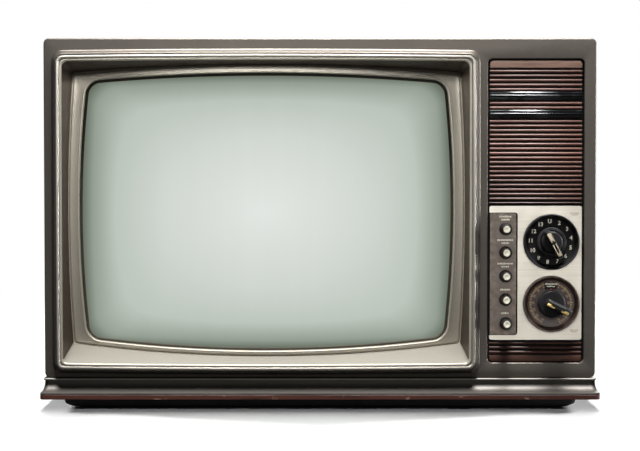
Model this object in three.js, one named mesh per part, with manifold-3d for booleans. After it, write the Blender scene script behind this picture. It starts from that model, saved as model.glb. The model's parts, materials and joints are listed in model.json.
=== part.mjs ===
// A 19-inch table-top colour television of the 1970s, with its set-back dipole aerial stowed behind it.
// Millimetres, +Z up, front towards -Y. Depths are measured from the cabinet's face, which is at depth 0,
// and the last lines move the whole set so that the middle of its footprint is the origin.
import * as THREE from "three";
import { mergeVertices } from "three/addons/utils/BufferGeometryUtils.js";
import Module from "manifold-3d";

const wasm = await Module();
wasm.setup();

// ---- Driving dimensions ----

const GAP = 0.3; // between pieces that touch
const WALL = 4; // of the moulded front

const CABINET = { half: 299.5, bottom: 35.4, top: 404, rounding: 6, frontDepth: 38 };
const WRAP = { half: 298.5, top: 403, back: 280, wall: 3 };
const PLINTH = { half: 303.5, front: -14, back: 290, bottom: 13, lip: 18.5, coveFoot: 20.8, top: 35.1 };
const COVE = { reach: 12.4, sideReach: 3.4 }; // how far it runs out at the front and at the sides
const BEAD = { proud: 3, high: 2.4 }; // runs round the plinth's top, below the cabinet
const EDGE_BAND = { thick: 1.5, top: 18.2 };
const BASE = { half: 281.6, bottom: 1.5, front: 16, back: 246, wall: 3, chamfer: 12 };
const FOOT = { radius: 14, height: 1.2, x: 232, front: 44, back: 222 };

// The picture opening: half sizes are [across, up] from its centre.
const SCREEN = { x: -58.6, z: 215.6 };
const BOW = [0.5, 1.6]; // how far the long edges of the surround, the rim and the mouth swell
const RING = { outerHalf: [227.1, 170.1], innerHalf: [223, 166], front: -12, back: -5.4 };
const SURROUND = { foot: [232.8, 176], crest: [228.4, 171.4], seat: [227.5, 170.5], proud: -9 };
const APERTURE = { half: [223.3, 166.3], corner: 6.6 };
const POST = { x: 232.7, z: 165, radius: 3.6, end: 48.7 };

// The mask's wall slopes back to a valley, and a rounded lip rises from it round the glass. The valley and
// the lip are placed by how far they stand before the glass, and the mask is open at the lip.
const MOUTH = { inner: [220, 163], outer: [222.6, 165.6], front: -8.5, crest: -10, corner: 6 };
const FLANGE = { half: [228.5, 171], front: 5.4, back: 8.2 };
const VALLEY = { half: [212.9, 148.65], bulge: [4.4, 8, 12], corner: 4, dz: 3.25, before: 3.3, back: 1.1 };
const SHOULDER = { inset: 2.2, before: 5.2 };
const LIP = { half: [197.2, 141.6], bulge: [7.4, 8.2, 11.1], corner: 14, dz: 1.3, crest: 5, edge: 2.2, back: 0.9 };
const GLASS = { radius: 900, depth: 1, edge: 75, wall: 10, half: [209, 152], bulge: [5, 6], corner: 26 };

// The control panel down the right side.
const PANEL = { x: 234.3, half: 52.4, bottom: 51.6, top: 381.9, corner: 5.4 };
const LOUVRE = { half: 50, corner: 3.4, front: 2, back: 6.6, skin: 1.6, pitch: 4.94, slat: 3.1, slot: 1.84 };
const GRILLE = { bottom: 224.4, top: 379.8, headBand: 8.2, window: 42 };
const LOWER_LOUVRE = { bottom: 53, top: 75.6, footBand: 6.6 };
const PLATE = { half: 50.1, bottom: 76.6, top: 222.4, front: 1.5, thick: 1.6, corner: 2.5 };
const STRIP = { left: 184.9, right: 213.4, bottom: 82.2, top: 214.6, front: 2.4, thick: 1.8 };
const CARRIER = { half: 55, bottom: 46, top: 388, front: 8.5, thick: 2.5 };

// Knobs and dials.
const KNOB = { x: 201.7, top: 197.3, pitch: 25.6, root: 6.9, tip: 4.7, length: 15.5, cap: 3.8 };
const PULLED_OUT = 5; // the volume knob is drawn out to its ON place
const SHAFT = { radius: 3, bore: 3.6, end: 30 };
const SLEEVE = { inner: 3.6, outer: 5, end: 13.5 }; // carries the fine tuning ring round the spindle
const DIAL = { x: 251, radius: 30.4, face: 25.6, hub: 26.6, flange: 1.1, back: 4.6, vhfZ: 183.4, uhfZ: 116.3 };
const DIAL_RIM = { foot: 1.8, inner: 1.2, outer: 0.6, round: 0.9 }; // how far inside the dial's edge each bend lies
const VHF_DISH = { face: 0.4, rim: -5.5, bore: 8.6 };
const UHF_DISH = { face: 1, rim: -8, bore: 4 };
const VHF_POINTS_AT = 152; // degrees clockwise from the top
const UHF_POINTS_AT = 116;

// The rear.
const COVER = { rim: 266, shoulder: 277, bulge: 342, end: 396, wall: 3 };
const AERIAL = { z: 362, block: { half: 34, front: 277.3, back: 302, rise: 14 }, post: 24, axisDepth: 307.5, pivot: 42 };
const ROD = { outer: [3.5, 2.7, 1.9], bore: [2.95, 2.15], start: [50, 62, 74], end: [272, 277, 283] };
const LEDGE = { x: 250, half: 6, back: 314, top: 358.2, thick: 5 };

// ---- Materials ----

const finish = (color, roughness, metalness = 0) =>
  new THREE.MeshStandardMaterial({ color, roughness, metalness });

const taupe = finish(0x6b645c, 0.45, 0.35);
const pewter = finish(0x9a9284, 0.38, 0.7);
const chrome = finish(0xd6d3cc, 0.18, 0.95);
const walnut = finish(0x5f3c33, 0.5);
const blackPlastic = finish(0x16151a, 0.4);
const glossBlack = finish(0x14161a, 0.12);
const champagne = finish(0xded8c8, 0.35, 0.6);
const umber = finish(0x5c544d, 0.5);
const screenGlass = finish(0xc4cfc6, 0.15);
const greyGlass = finish(0x3d4044, 0.5);
const steel = finish(0x8e9092, 0.45, 0.8);
const rubber = finish(0x1b1a1a, 0.9);
const board = finish(0x7b5a2e, 0.7);
const copper = finish(0x8a4b2c, 0.5, 0.5);
const paper = finish(0x26241f, 0.95);
const cream = finish(0xd9d4c0, 0.4, 0.3);
const bakelite = finish(0x2a211d, 0.55);

// ---- Geometry helpers ----

// Merges coincident corners, drops faces that collapsed and turns the mesh to face outwards.
function closed(geometry) {
  const bare = new THREE.BufferGeometry().setAttribute("position", geometry.getAttribute("position"));
  if (geometry.index) bare.setIndex(geometry.index);
  const merged = mergeVertices(bare, 1e-4);
  const p = merged.attributes.position;
  const corners = [...merged.index.array];
  const kept = [];
  let volume = 0;
  const [a, b, c] = [new THREE.Vector3(), new THREE.Vector3(), new THREE.Vector3()];
  for (let i = 0; i < corners.length; i += 3) {
    const [i0, i1, i2] = corners.slice(i, i + 3);
    if (i0 === i1 || i1 === i2 || i2 === i0) continue;
    kept.push([i0, i1, i2]);
    a.fromBufferAttribute(p, i0);
    b.fromBufferAttribute(p, i1);
    c.fromBufferAttribute(p, i2);
    volume += a.dot(b.cross(c));
  }
  merged.setIndex(kept.flatMap((t) => (volume < 0 ? [t[0], t[2], t[1]] : t)));
  return merged;
}

function solid(geometry) {
  const g = closed(geometry);
  const mesh = new wasm.Mesh({
    numProp: 3,
    vertProperties: new Float32Array(g.attributes.position.array),
    triVerts: new Uint32Array(g.index.array),
  });
  return new wasm.Manifold(mesh);
}

function geometryOf(manifold) {
  const { numProp, vertProperties, triVerts } = manifold.getMesh();
  const corners = new Float32Array((vertProperties.length / numProp) * 3);
  for (let i = 0; i * numProp < vertProperties.length; i++)
    corners.set(vertProperties.subarray(i * numProp, i * numProp + 3), i * 3);
  return new THREE.BufferGeometry()
    .setAttribute("position", new THREE.BufferAttribute(corners, 3))
    .setIndex(new THREE.BufferAttribute(triVerts, 1));
}

const join = (...geometries) => geometryOf(geometries.map(solid).reduce((sum, s) => sum.add(s)));
const overlapOf = (a, b) => geometryOf(solid(a).intersect(solid(b)));
const cut = (geometry, ...tools) => geometryOf(tools.map(solid).reduce((left, s) => left.subtract(s), solid(geometry)));

// Joins rings of points by strips. The ends are capped, or joined to each other where loop is true.
function stitch(rings, loop = false) {
  const n = rings[0].length;
  const points = rings.flat();
  const faces = [];
  const strips = loop ? rings.length : rings.length - 1;
  for (let r = 0; r < strips; r++) {
    const [from, to] = [r * n, ((r + 1) % rings.length) * n];
    for (let i = 0; i < n; i++) {
      const j = (i + 1) % n;
      faces.push(from + i, from + j, to + j, from + i, to + j, to + i);
    }
  }
  if (!loop) {
    const capAt = (ring, flip) => {
      const centre = ring.reduce((s, p) => s.add(p), new THREE.Vector3()).divideScalar(n);
      const first = points.indexOf(ring[0]);
      points.push(centre);
      for (let i = 0; i < n; i++) {
        const pair = [first + i, first + ((i + 1) % n)];
        faces.push(points.length - 1, ...(flip ? pair : pair.reverse()));
      }
    };
    capAt(rings[0], false);
    capAt(rings[rings.length - 1], true);
  }
  return closed(new THREE.BufferGeometry().setFromPoints(points).setIndex(faces));
}

// A rectangle with round corners whose sides may bulge, as pairs [across, up] about its centre.
function outline(half, corner, bulge = [0, 0], sideSteps = 1, cornerSteps = 3) {
  const [w, h] = half;
  const pairs = [];
  for (let quarter = 0; quarter < 4; quarter++) {
    const [sx, sz] = [[1, 1], [-1, 1], [-1, -1], [1, -1]][quarter];
    const [nextX, nextZ] = [[-1, 1], [-1, -1], [1, -1], [1, 1]][quarter];
    for (let i = 0; i <= cornerSteps; i++) {
      const angle = ((quarter + i / cornerSteps) * Math.PI) / 2;
      pairs.push([sx * (w - corner) + corner * Math.cos(angle), sz * (h - corner) + corner * Math.sin(angle)]);
    }
    const end = pairs[pairs.length - 1];
    const angle = ((quarter + 1) * Math.PI) / 2;
    const start = [nextX * (w - corner) + corner * Math.cos(angle), nextZ * (h - corner) + corner * Math.sin(angle)];
    for (let i = 1; i < sideSteps; i++) {
      const t = i / sideSteps;
      pairs.push([end[0] + (start[0] - end[0]) * t, end[1] + (start[1] - end[1]) * t]);
    }
  }
  const [side, upper, lower = upper] = bulge;
  return pairs.map(([x, z]) => [
    x + side * (x / w) * (1 - (z / h) ** 2),
    z + (z < 0 ? lower : upper) * (z / h) * (1 - (x / w) ** 2),
  ]);
}

// An outline stood up facing the front: depth is a number, or a function of the place on the screen.
function ring(pairs, centre, depth) {
  const at = typeof depth === "function" ? depth : () => depth;
  return pairs.map(([x, z]) => {
    const [px, pz] = [centre.x + x, centre.z + z];
    return new THREE.Vector3(px, at(px - SCREEN.x, pz - SCREEN.z), pz);
  });
}

// A rectangle given by its edges, as a ring facing the front.
function edgesRing({ half, bottom, top, x = 0 }, corner, depth, inset = 0) {
  const pairs = outline([half - inset, (top - bottom) / 2 - inset], Math.max(corner - inset, 0.5));
  return ring(pairs, { x, z: (top + bottom) / 2 }, depth);
}

const grown = (half, by) => half.map((v) => v + by);

// A flat shape in X and Z, from its front depth towards the back.
function upright(shape, front, thick, curveSegments = 12) {
  const made = new THREE.ExtrudeGeometry(shape, { depth: thick, bevelEnabled: false, curveSegments });
  return made.rotateX(Math.PI / 2).translate(0, front + thick, 0);
}

function roundedShape(left, right, bottom, top, r) {
  const s = new THREE.Shape();
  s.moveTo(left + r, bottom).lineTo(right - r, bottom);
  s.absarc(right - r, bottom + r, r, -Math.PI / 2, 0);
  s.absarc(right - r, top - r, r, 0, Math.PI / 2);
  s.absarc(left + r, top - r, r, Math.PI / 2, Math.PI);
  s.absarc(left + r, bottom + r, r, Math.PI, 1.5 * Math.PI);
  return s;
}

const roundedPlate = (left, right, bottom, top, r, front, thick, segments = 3) =>
  upright(roundedShape(left, right, bottom, top, r), front, thick, segments);

function box(x0, x1, y0, y1, z0, z1) {
  return new THREE.BoxGeometry(x1 - x0, y1 - y0, z1 - z0).translate((x0 + x1) / 2, (y0 + y1) / 2, (z0 + z1) / 2);
}

// A turned piece on an axis that runs from front to back: profile points are [radius, depth].
function turned(profile, x, z, segments = 32) {
  const points = profile.map(([r, depth]) => new THREE.Vector2(r, depth));
  return closed(new THREE.LatheGeometry(points, segments)).translate(x, 0, z);
}

const drill = (radius, x, z, from, to, segments = 24) =>
  turned([[0, from], [radius, from], [radius, to], [0, to]], x, z, segments);

const set = new THREE.Group();

function add(name, geometry, material) {
  const mesh = new THREE.Mesh(closed(geometry), material);
  mesh.name = name;
  set.add(mesh);
  return mesh;
}

// ---- Cabinet ----

// The moulded front: a shallow tray with the picture opening, its raised surround and the panel opening.
function frontFrame() {
  const edge = (inset, depth) => edgesRing(CABINET, CABINET.rounding, depth, inset);
  const tray = stitch([
    edge(4, 0), edge(1.4, 0.7), edge(0, 3.6), edge(0, CABINET.frontDepth),
    edge(WALL, CABINET.frontDepth), edge(WALL, WALL + 1),
  ]);
  const loop = (half, depth) => ring(outline(half, APERTURE.corner, BOW, 4), SCREEN, depth);
  const surround = stitch([
    loop(SURROUND.foot, 0.5), loop(grown(SURROUND.foot, -0.5), -0.2),
    loop(grown(SURROUND.foot, -1.4), -2.2), loop(grown(SURROUND.crest, 1.6), -5.4), loop(SURROUND.crest, SURROUND.proud),
    loop(SURROUND.seat, SURROUND.proud), loop(SURROUND.seat, -5), loop(APERTURE.half, -5), loop(APERTURE.half, 0.5),
  ], true);
  const pictureHole = stitch([loop(APERTURE.half, -2), loop(APERTURE.half, 10)]);
  const panelHole = roundedPlate(PANEL.x - PANEL.half, PANEL.x + PANEL.half, PANEL.bottom, PANEL.top, PANEL.corner, -2, 12);
  const posts = [-1, 1].flatMap((sx) =>
    [-1, 1].map((sz) => drill(POST.radius, SCREEN.x + sx * POST.x, SCREEN.z + sz * POST.z, 4, POST.end, 8)));
  return join(cut(tray, pictureHole, panelHole), surround, ...posts);
}

// The three-sided wrap behind the front: two sides and a top.
function cabinetWrap() {
  const { half, top, wall, back } = WRAP;
  const [r, bottom] = [CABINET.rounding, CABINET.bottom];
  const s = new THREE.Shape();
  s.moveTo(half, bottom).lineTo(half, top - r);
  s.absarc(half - r, top - r, r, 0, Math.PI / 2);
  s.absarc(r - half, top - r, r, Math.PI / 2, Math.PI);
  s.lineTo(-half, bottom).lineTo(wall - half, bottom).lineTo(wall - half, top - r);
  s.absarc(r - half, top - r, r - wall, Math.PI, Math.PI / 2, true);
  s.absarc(half - r, top - r, r - wall, Math.PI / 2, 0, true);
  s.lineTo(half - wall, bottom);
  const front = CABINET.frontDepth + GAP;
  return upright(s, front, back - front, 4);
}

// A ring lying flat at height z. Its front edge and its sides are set, and its back stays at one depth.
function flatRing(half, front, back, z, corner = 5) {
  const pairs = outline([half, (back - front) / 2], corner, [0, 0], 2, 3);
  return pairs.map(([x, y]) => new THREE.Vector3(x, (back + front) / 2 + y, z));
}

// The plinth: a tray whose cove sweeps out from under the cabinet to a thin edge.
function plinth() {
  const { half, front, back, bottom, lip, coveFoot, top } = PLINTH;
  const inset = EDGE_BAND.thick + GAP;
  const rings = [
    flatRing(half - inset, front + inset, back, bottom), flatRing(half - inset, front + inset, back, lip),
    flatRing(half, front, back, lip), flatRing(half, front, back, lip + 1.5),
  ];
  for (let step = 0; step <= 5; step++) {
    const angle = (step / 5) * (Math.PI / 2);
    const out = 1 - Math.sin(angle);
    const z = coveFoot + (top - BEAD.high - coveFoot) * (1 - Math.cos(angle));
    rings.push(flatRing(CABINET.half + COVE.sideReach * out, -COVE.reach * out, back, z));
  }
  const beadHalf = CABINET.half + BEAD.proud / 2;
  rings.push(
    flatRing(beadHalf, -BEAD.proud, back, top - BEAD.high + 0.3), flatRing(beadHalf, -BEAD.proud, back, top - 0.7),
    flatRing(beadHalf - 0.5, 0.7 - BEAD.proud, back, top),
  );
  const inner = CABINET.half - WALL;
  rings.push(flatRing(inner, WALL, back - WALL, top), flatRing(inner, WALL, back - WALL, bottom + WALL));
  return stitch(rings);
}

// The wood-grain band let into the plinth's edge, round the front and both sides.
function plinthEdge() {
  const { half, front, back, bottom } = PLINTH;
  const { thick, top } = EDGE_BAND;
  const s = new THREE.Shape();
  s.moveTo(-half, back).lineTo(-half, front + 5);
  s.absarc(5 - half, front + 5, 5, Math.PI, 1.5 * Math.PI);
  s.absarc(half - 5, front + 5, 5, 1.5 * Math.PI, 2 * Math.PI);
  s.lineTo(half, back).lineTo(half - thick, back).lineTo(half - thick, front + 5);
  s.absarc(half - 5, front + 5, 5 - thick, 0, -Math.PI / 2, true);
  s.absarc(5 - half, front + 5, 5 - thick, -Math.PI / 2, -Math.PI, true);
  s.lineTo(thick - half, back);
  return new THREE.ExtrudeGeometry(s, { depth: top - bottom, bevelEnabled: false, curveSegments: 3 }).translate(0, 0, bottom);
}

// The black base pan, set back under the plinth, with chamfered ends.
function basePan() {
  const { half, bottom, front, back, wall, chamfer } = BASE;
  const top = PLINTH.bottom - GAP;
  return stitch([
    flatRing(half - chamfer, front + 6, back - 6, bottom), flatRing(half - 2, front + 1, back - 1, bottom + 3.4),
    flatRing(half, front, back, top), flatRing(half - wall, front + wall, back - wall, top),
    flatRing(half - wall - 2, front + 4, back - 4, bottom + 4.4),
    flatRing(half - chamfer - 2, front + 8, back - 8, bottom + wall),
  ]);
}

function addFeet() {
  for (const [side, x] of [["left", -FOOT.x], ["right", FOOT.x]])
    for (const [end, depth] of [["front", FOOT.front], ["rear", FOOT.back]]) {
      const foot = new THREE.CylinderGeometry(FOOT.radius, FOOT.radius - 1, FOOT.height, 20).rotateX(Math.PI / 2);
      add(`foot_${end}_${side}`, foot.translate(x, depth, FOOT.height / 2), rubber);
    }
}

add("front_frame", frontFrame(), taupe);
add("cabinet_wrap", cabinetWrap(), walnut);
add("plinth", plinth(), taupe);
add("plinth_edge_band", plinthEdge(), walnut);
add("base_pan", basePan(), blackPlastic);
addFeet();

// ---- Picture mask and trim ----

const glassDepth = (x, z) => GLASS.depth + (x * x + z * z) / (2 * GLASS.radius);

// An outline of the valley or the lip, widened by some length, at a distance before the glass.
function maskRing(part, by, before) {
  const pairs = outline(grown(part.half, by), part.corner + by, part.bulge, 6);
  return ring(pairs, { x: SCREEN.x, z: SCREEN.z + part.dz }, (x, z) => glassDepth(x, z) - before);
}

function pictureMask() {
  const mouth = (half, depth, bow = BOW) => ring(outline(half, MOUTH.corner, bow, 6), SCREEN, depth);
  const flat = [0, 0];
  return stitch([
    mouth(grown(MOUTH.inner, 1.2), MOUTH.crest), mouth(MOUTH.inner, MOUTH.front), maskRing(VALLEY, 0, VALLEY.before),
    maskRing(VALLEY, -SHOULDER.inset, SHOULDER.before), maskRing(LIP, 2.6, LIP.crest), maskRing(LIP, 0, LIP.edge), maskRing(LIP, 0.6, LIP.back),
    maskRing(VALLEY, 1, VALLEY.back), mouth(grown(MOUTH.outer, -1.6), FLANGE.back, flat),
    mouth(FLANGE.half, FLANGE.back, flat), mouth(FLANGE.half, FLANGE.front, flat),
    mouth(MOUTH.outer, FLANGE.front), mouth(MOUTH.outer, MOUTH.crest),
  ], true);
}

// The bright rim that caps the mask: a band with a rounded front.
function maskTrimRing() {
  const loop = (half, corner, depth) => ring(outline(half, corner, BOW, 4), SCREEN, depth);
  const [out, inn] = [RING.outerHalf, RING.innerHalf];
  return stitch([
    loop(out, 7, RING.back), loop(out, 7, RING.front + 2), loop(grown(out, -0.8), 6.6, RING.front + 0.5),
    loop(grown(out, -1.9), 6, RING.front), loop(grown(inn, 0.7), 6, RING.front + 0.7), loop(inn, 6, RING.front + 2.2),
    loop(inn, 6, RING.back),
  ], true);
}

add("picture_mask", pictureMask(), pewter);
add("mask_trim_ring", maskTrimRing(), chrome);

// ---- Picture tube ----

const glassOutline = (by, corner = GLASS.corner + by) => outline(grown(GLASS.half, by), corner, GLASS.bulge, 4);

// Rings of the panel: the face is part of a sphere, and the skirt runs straight back.
function faceplate() {
  const at = (share, inset, depthOf) =>
    ring(glassOutline(-inset, GLASS.corner - inset).map(([x, z]) => [x * share, z * share]), SCREEN, depthOf);
  const shares = [0.35, 0.7, 0.95];
  const face = shares.map((s) => at(s, 0, glassDepth));
  const rim = [at(1, 0, (x, z) => glassDepth(x, z) + 3), at(1, 0, GLASS.edge), at(1, GLASS.wall, GLASS.edge)];
  const back = [...shares].reverse().map((s) => at(s, GLASS.wall, (x, z) => glassDepth(x, z) + GLASS.wall));
  return stitch([...face, ...rim, ...back]);
}

// The cone and neck: oblong behind the panel, round at the neck, open towards the panel.
function funnel() {
  const start = GLASS.edge + GAP;
  const [coneEnd, neckEnd, neck] = [232, 343, 14.5];
  const section = (t, inset) => {
    const ease = 1 - (1 - t) ** 1.25;
    const half = GLASS.half.map((v) => v + (neck + 2 - v) * ease - inset);
    const corner = GLASS.corner + (Math.min(...half) - GLASS.corner) * Math.min(1, t * 1.15);
    return outline(half, Math.max(1, Math.min(corner, ...half) - 0.05), GLASS.bulge.map((v) => v * (1 - t)), 2, 4);
  };
  const steps = [0, 0.25, 0.5, 0.78, 1];
  const cone = (inset) => steps.map((t) => ring(section(t, inset), SCREEN, start + (coneEnd - start) * t));
  const neckRing = (r, depth) => ring(outline([r, r], r - 0.05, [0, 0], 2, 4), SCREEN, depth);
  return stitch([
    neckRing(neck - 2, neckEnd - 3), neckRing(neck - 2, coneEnd + 8), ...cone(3.5).reverse(),
    ...cone(0), neckRing(neck, coneEnd + 8), neckRing(neck, neckEnd),
  ]);
}

// The steel band shrunk round the panel, with an ear at each corner that screws to the front's posts.
function tensionBand() {
  const loop = (by, depth) => ring(glassOutline(by), SCREEN, depth);
  const band = stitch([loop(0.5, 49), loop(2.5, 49), loop(2.5, 70), loop(0.5, 70)], true);
  const plug = stitch([loop(0.5, 40), loop(0.5, 80)]);
  const ears = [-1, 1].flatMap((sx) => [-1, 1].map((sz) => {
    const post = [SCREEN.x + sx * POST.x, SCREEN.z + sz * POST.z];
    const root = [SCREEN.x + sx * (GLASS.half[0] - 14), SCREEN.z + sz * (GLASS.half[1] - 14)];
    const [dx, dz] = [post[0] - root[0], post[1] - root[1]];
    const arm = box(0, Math.hypot(dx, dz), 49, 51, -4, 4).rotateY(-Math.atan2(dz, dx)).translate(root[0], 0, root[1]);
    return cut(join(arm, drill(4, ...post, 49, 51, 12)), drill(1.4, ...post, 40, 60, 8), plug);
  }));
  return join(band, ...ears);
}

function deflectionYoke() {
  return turned([[17.5, 262], [17.5, 243], [60, 203], [78, 203], [78, 210], [52, 238], [46, 262], [17.5, 262]], SCREEN.x, SCREEN.z, 20);
}

function tubeSocket() {
  const cap = drill(18, SCREEN.x, SCREEN.z, 343.4, 356, 16);
  return join(cap, box(SCREEN.x - 35, SCREEN.x + 35, 355, 357, SCREEN.z - 35, SCREEN.z + 35));
}

add("tube_faceplate", faceplate(), screenGlass);
add("tube_funnel", funnel(), greyGlass);
add("tension_band", tensionBand(), steel);
add("deflection_yoke", deflectionYoke(), copper);
add("tube_socket", tubeSocket(), board);

// ---- Control panel ----

// A louvred face: slats and grooves between two heights, listed from the top down. Each stretch is
// [kind, height]; a slat is a ridge that leans, a flat is plain and a seat is the groove that a band fills.
function louvres(top, stretches) {
  const { front, back, skin } = LOUVRE;
  const floor = back - skin;
  const s = new THREE.Shape();
  s.moveTo(back, top);
  let z = top;
  for (const [kind, height] of stretches) {
    const end = z - height;
    if (kind === "flat") s.lineTo(front, z).lineTo(front, end);
    else if (kind === "slat") s.lineTo(front + 0.5, z).lineTo(front, z - 0.8).lineTo(front + 0.9, end);
    else s.lineTo(floor, z).lineTo(floor, end);
    z = end;
  }
  s.lineTo(back, z);
  // The section lies in depth and height, and runs across the panel.
  const made = new THREE.ExtrudeGeometry(s, { depth: 2 * LOUVRE.half, bevelEnabled: false });
  const along = new THREE.Matrix4().makeBasis(
    new THREE.Vector3(0, 1, 0), new THREE.Vector3(0, 0, 1), new THREE.Vector3(1, 0, 0));
  return made.applyMatrix4(along).translate(PANEL.x - LOUVRE.half, 0, 0);
}

const slatPair = [["slot", LOUVRE.slot], ["slat", LOUVRE.slat]];
const slats = (count) => Array.from({ length: count }, () => slatPair).flat();
const bandSeat = ["slot", 2 * LOUVRE.pitch];

// Heights of the two gloss bands' tops, measured down from the grille's top.
const upperBandTop = GRILLE.top - GRILLE.headBand - 5 * LOUVRE.pitch;
const lowerBandTop = upperBandTop - 4 * LOUVRE.pitch;

// Rounds the corners of a louvred face.
const roundedFace = (geometry, bottom, top) => overlapOf(geometry,
  roundedPlate(PANEL.x - LOUVRE.half, PANEL.x + LOUVRE.half, bottom, top, LOUVRE.corner, 0, 12));

function speakerGrille() {
  const below = Math.floor((lowerBandTop - 2 * LOUVRE.pitch - GRILLE.bottom) / LOUVRE.pitch);
  const rest = lowerBandTop - 2 * LOUVRE.pitch - GRILLE.bottom - below * LOUVRE.pitch;
  const face = louvres(GRILLE.top, [
    ["flat", GRILLE.headBand], ...slats(5), bandSeat, ...slats(2), bandSeat, ...slats(below), ["slot", rest],
  ]);
  const window = box(PANEL.x - GRILLE.window, PANEL.x + GRILLE.window, LOUVRE.back - LOUVRE.skin, 12,
    GRILLE.bottom + 8, lowerBandTop - 2 * LOUVRE.pitch - 4);
  return cut(roundedFace(face, GRILLE.bottom - 9, GRILLE.top), window);
}

// A glossy bar with a rounded face that spans two slats.
function glossBand(top) {
  const [height, floor] = [2 * LOUVRE.pitch, LOUVRE.back - LOUVRE.skin - GAP];
  const s = new THREE.Shape();
  s.moveTo(floor, top - 0.6);
  for (let step = 0; step <= 6; step++) {
    const t = step / 6;
    s.lineTo(LOUVRE.front + 0.6 - 1.4 * Math.sin(Math.PI * t), top - 0.6 - (height - 1.2) * t);
  }
  s.lineTo(floor, top - height + 0.6);
  const along = new THREE.Matrix4().makeBasis(
    new THREE.Vector3(0, 1, 0), new THREE.Vector3(0, 0, 1), new THREE.Vector3(1, 0, 0));
  const made = new THREE.ExtrudeGeometry(s, { depth: 2 * LOUVRE.half, bevelEnabled: false });
  return made.applyMatrix4(along).translate(PANEL.x - LOUVRE.half, 0, 0);
}

function lowerLouvre() {
  const { bottom, top, footBand } = LOWER_LOUVRE;
  const rest = top - bottom - 3 * LOUVRE.pitch - footBand;
  return roundedFace(louvres(top, [...slats(3), ["slot", rest], ["flat", footBand]]), bottom, top + 9);
}

function controlPlate() {
  const { half, bottom, top, front, thick, corner } = PLATE;
  const plate = roundedPlate(PANEL.x - half, PANEL.x + half, bottom, top, corner, front, thick);
  const notch = roundedPlate(STRIP.left - 8, STRIP.right + 1.4, STRIP.bottom - 0.7, STRIP.top + 0.7, 3.5, front - 1, thick + 4);
  const holes = [DIAL.vhfZ, DIAL.uhfZ].map((z) => drill(27.2, DIAL.x, z, front - 1, front + 4, 24));
  return cut(plate, notch, ...holes);
}

const knobHeights = [0, 1, 2, 3, 4].map((i) => KNOB.top - i * KNOB.pitch);

function controlStrip() {
  const { left, right, bottom, top, front, thick } = STRIP;
  const strip = roundedPlate(left, right, bottom, top, 3, front, thick);
  return cut(strip, ...knobHeights.map((z) => drill(SHAFT.bore, KNOB.x, z, front - 1, front + thick + 1, 10)));
}

// The moulded carrier behind the panel opening, which the grille, plate, tuners and speaker screw to.
function panelCarrier() {
  const { half, bottom, top, front, thick } = CARRIER;
  const back = roundedPlate(PANEL.x - half, PANEL.x + half, bottom, top, 5, front, thick);
  const mouth = stitch([-1, 4].map((d) => ring(outline([36, 60], 35.5, [0, 0], 1, 4), { x: PANEL.x, z: 290 }, front + d)));
  const shaftHoles = knobHeights.map((z) => drill(SHAFT.bore, KNOB.x, z, front - 1, front + 4, 10));
  const tunerHoles = [[DIAL.vhfZ, SLEEVE.outer + 0.7], [DIAL.uhfZ, SHAFT.bore]].map(([z, r]) =>
    drill(r, DIAL.x, z, front - 1, front + 4, 12));
  return cut(back, mouth, ...shaftHoles, ...tunerHoles);
}

add("speaker_grille", speakerGrille(), walnut);
add("grille_band_upper", glossBand(upperBandTop), glossBlack);
add("grille_band_lower", glossBand(lowerBandTop), glossBlack);
add("control_plate", controlPlate(), champagne);
add("control_strip", controlStrip(), umber);
add("lower_louvre", lowerLouvre(), walnut);
add("panel_carrier", panelCarrier(), blackPlastic);

// ---- Speaker ----

const oval = (w, h, depth) => ring(outline([w, h], w - 0.5, [0, 0], 1, 4), { x: PANEL.x, z: 290 }, depth);

function speakerFrame() {
  const basket = stitch([
    oval(38, 63, 11.4), oval(38, 63, 13.4), oval(33, 57, 14), oval(20, 26, 34), oval(20, 22, 52),
    oval(13, 14, 52), oval(13, 14, 36), oval(31, 54, 13.4), oval(34, 58, 11.4),
  ], true);
  return join(basket, drill(19, PANEL.x, 290, 48, 62, 16));
}

function speakerCone() {
  return stitch([
    oval(30, 53, 12.4), oval(10.5, 11.5, 27), oval(10.5, 11.5, 40), oval(9.5, 10.5, 40), oval(9.5, 10.5, 26.4),
    oval(29.4, 52.4, 11.6),
  ], true);
}

add("speaker_frame", speakerFrame(), steel);
add("speaker_cone", speakerCone(), paper);

// ---- Small controls ----

const CONTROLS = ["tint", "color", "contrast", "brightness", "volume"];

// Where a knob's front ends, and how far forward its skirt stands, when it is drawn out by some length.
const knobEnd = (out) => STRIP.front - 0.7 - KNOB.length - out;

// A tapered black knob on its spindle.
function knobBody(z, out, spindleEnd) {
  const { x, root, tip, length } = KNOB;
  const end = knobEnd(out);
  const skirt = end + length;
  return turned([
    [0, end], [tip, end], [root, skirt - 2], [root, skirt], [SHAFT.radius, skirt], [SHAFT.radius, spindleEnd], [0, spindleEnd],
  ], x, z, 14);
}

// The pale disc on a knob's end.
function knobCap(z, out) {
  const front = knobEnd(out) - GAP - 1.2;
  return turned([[0, front], [KNOB.cap - 0.6, front], [KNOB.cap, front + 0.5], [KNOB.cap, front + 1.2], [0, front + 1.2]], KNOB.x, z, 12);
}

CONTROLS.forEach((name, i) => {
  const out = name === "volume" ? PULLED_OUT : 0;
  add(`${name}_knob`, knobBody(knobHeights[i], out, name === "volume" ? 5.5 : 20), blackPlastic);
  add(`${name}_knob_cap`, knobCap(knobHeights[i], out), cream);
});

// The volume spindle turns with its knob but also slides, which works the mains switch.
const volumeZ = knobHeights[4];
add("volume_switch_slider", turned(
  [[0, 5.8], [SHAFT.radius, 5.8], [SHAFT.radius, 24], [0, 24]], KNOB.x, volumeZ, 14), steel);

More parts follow.
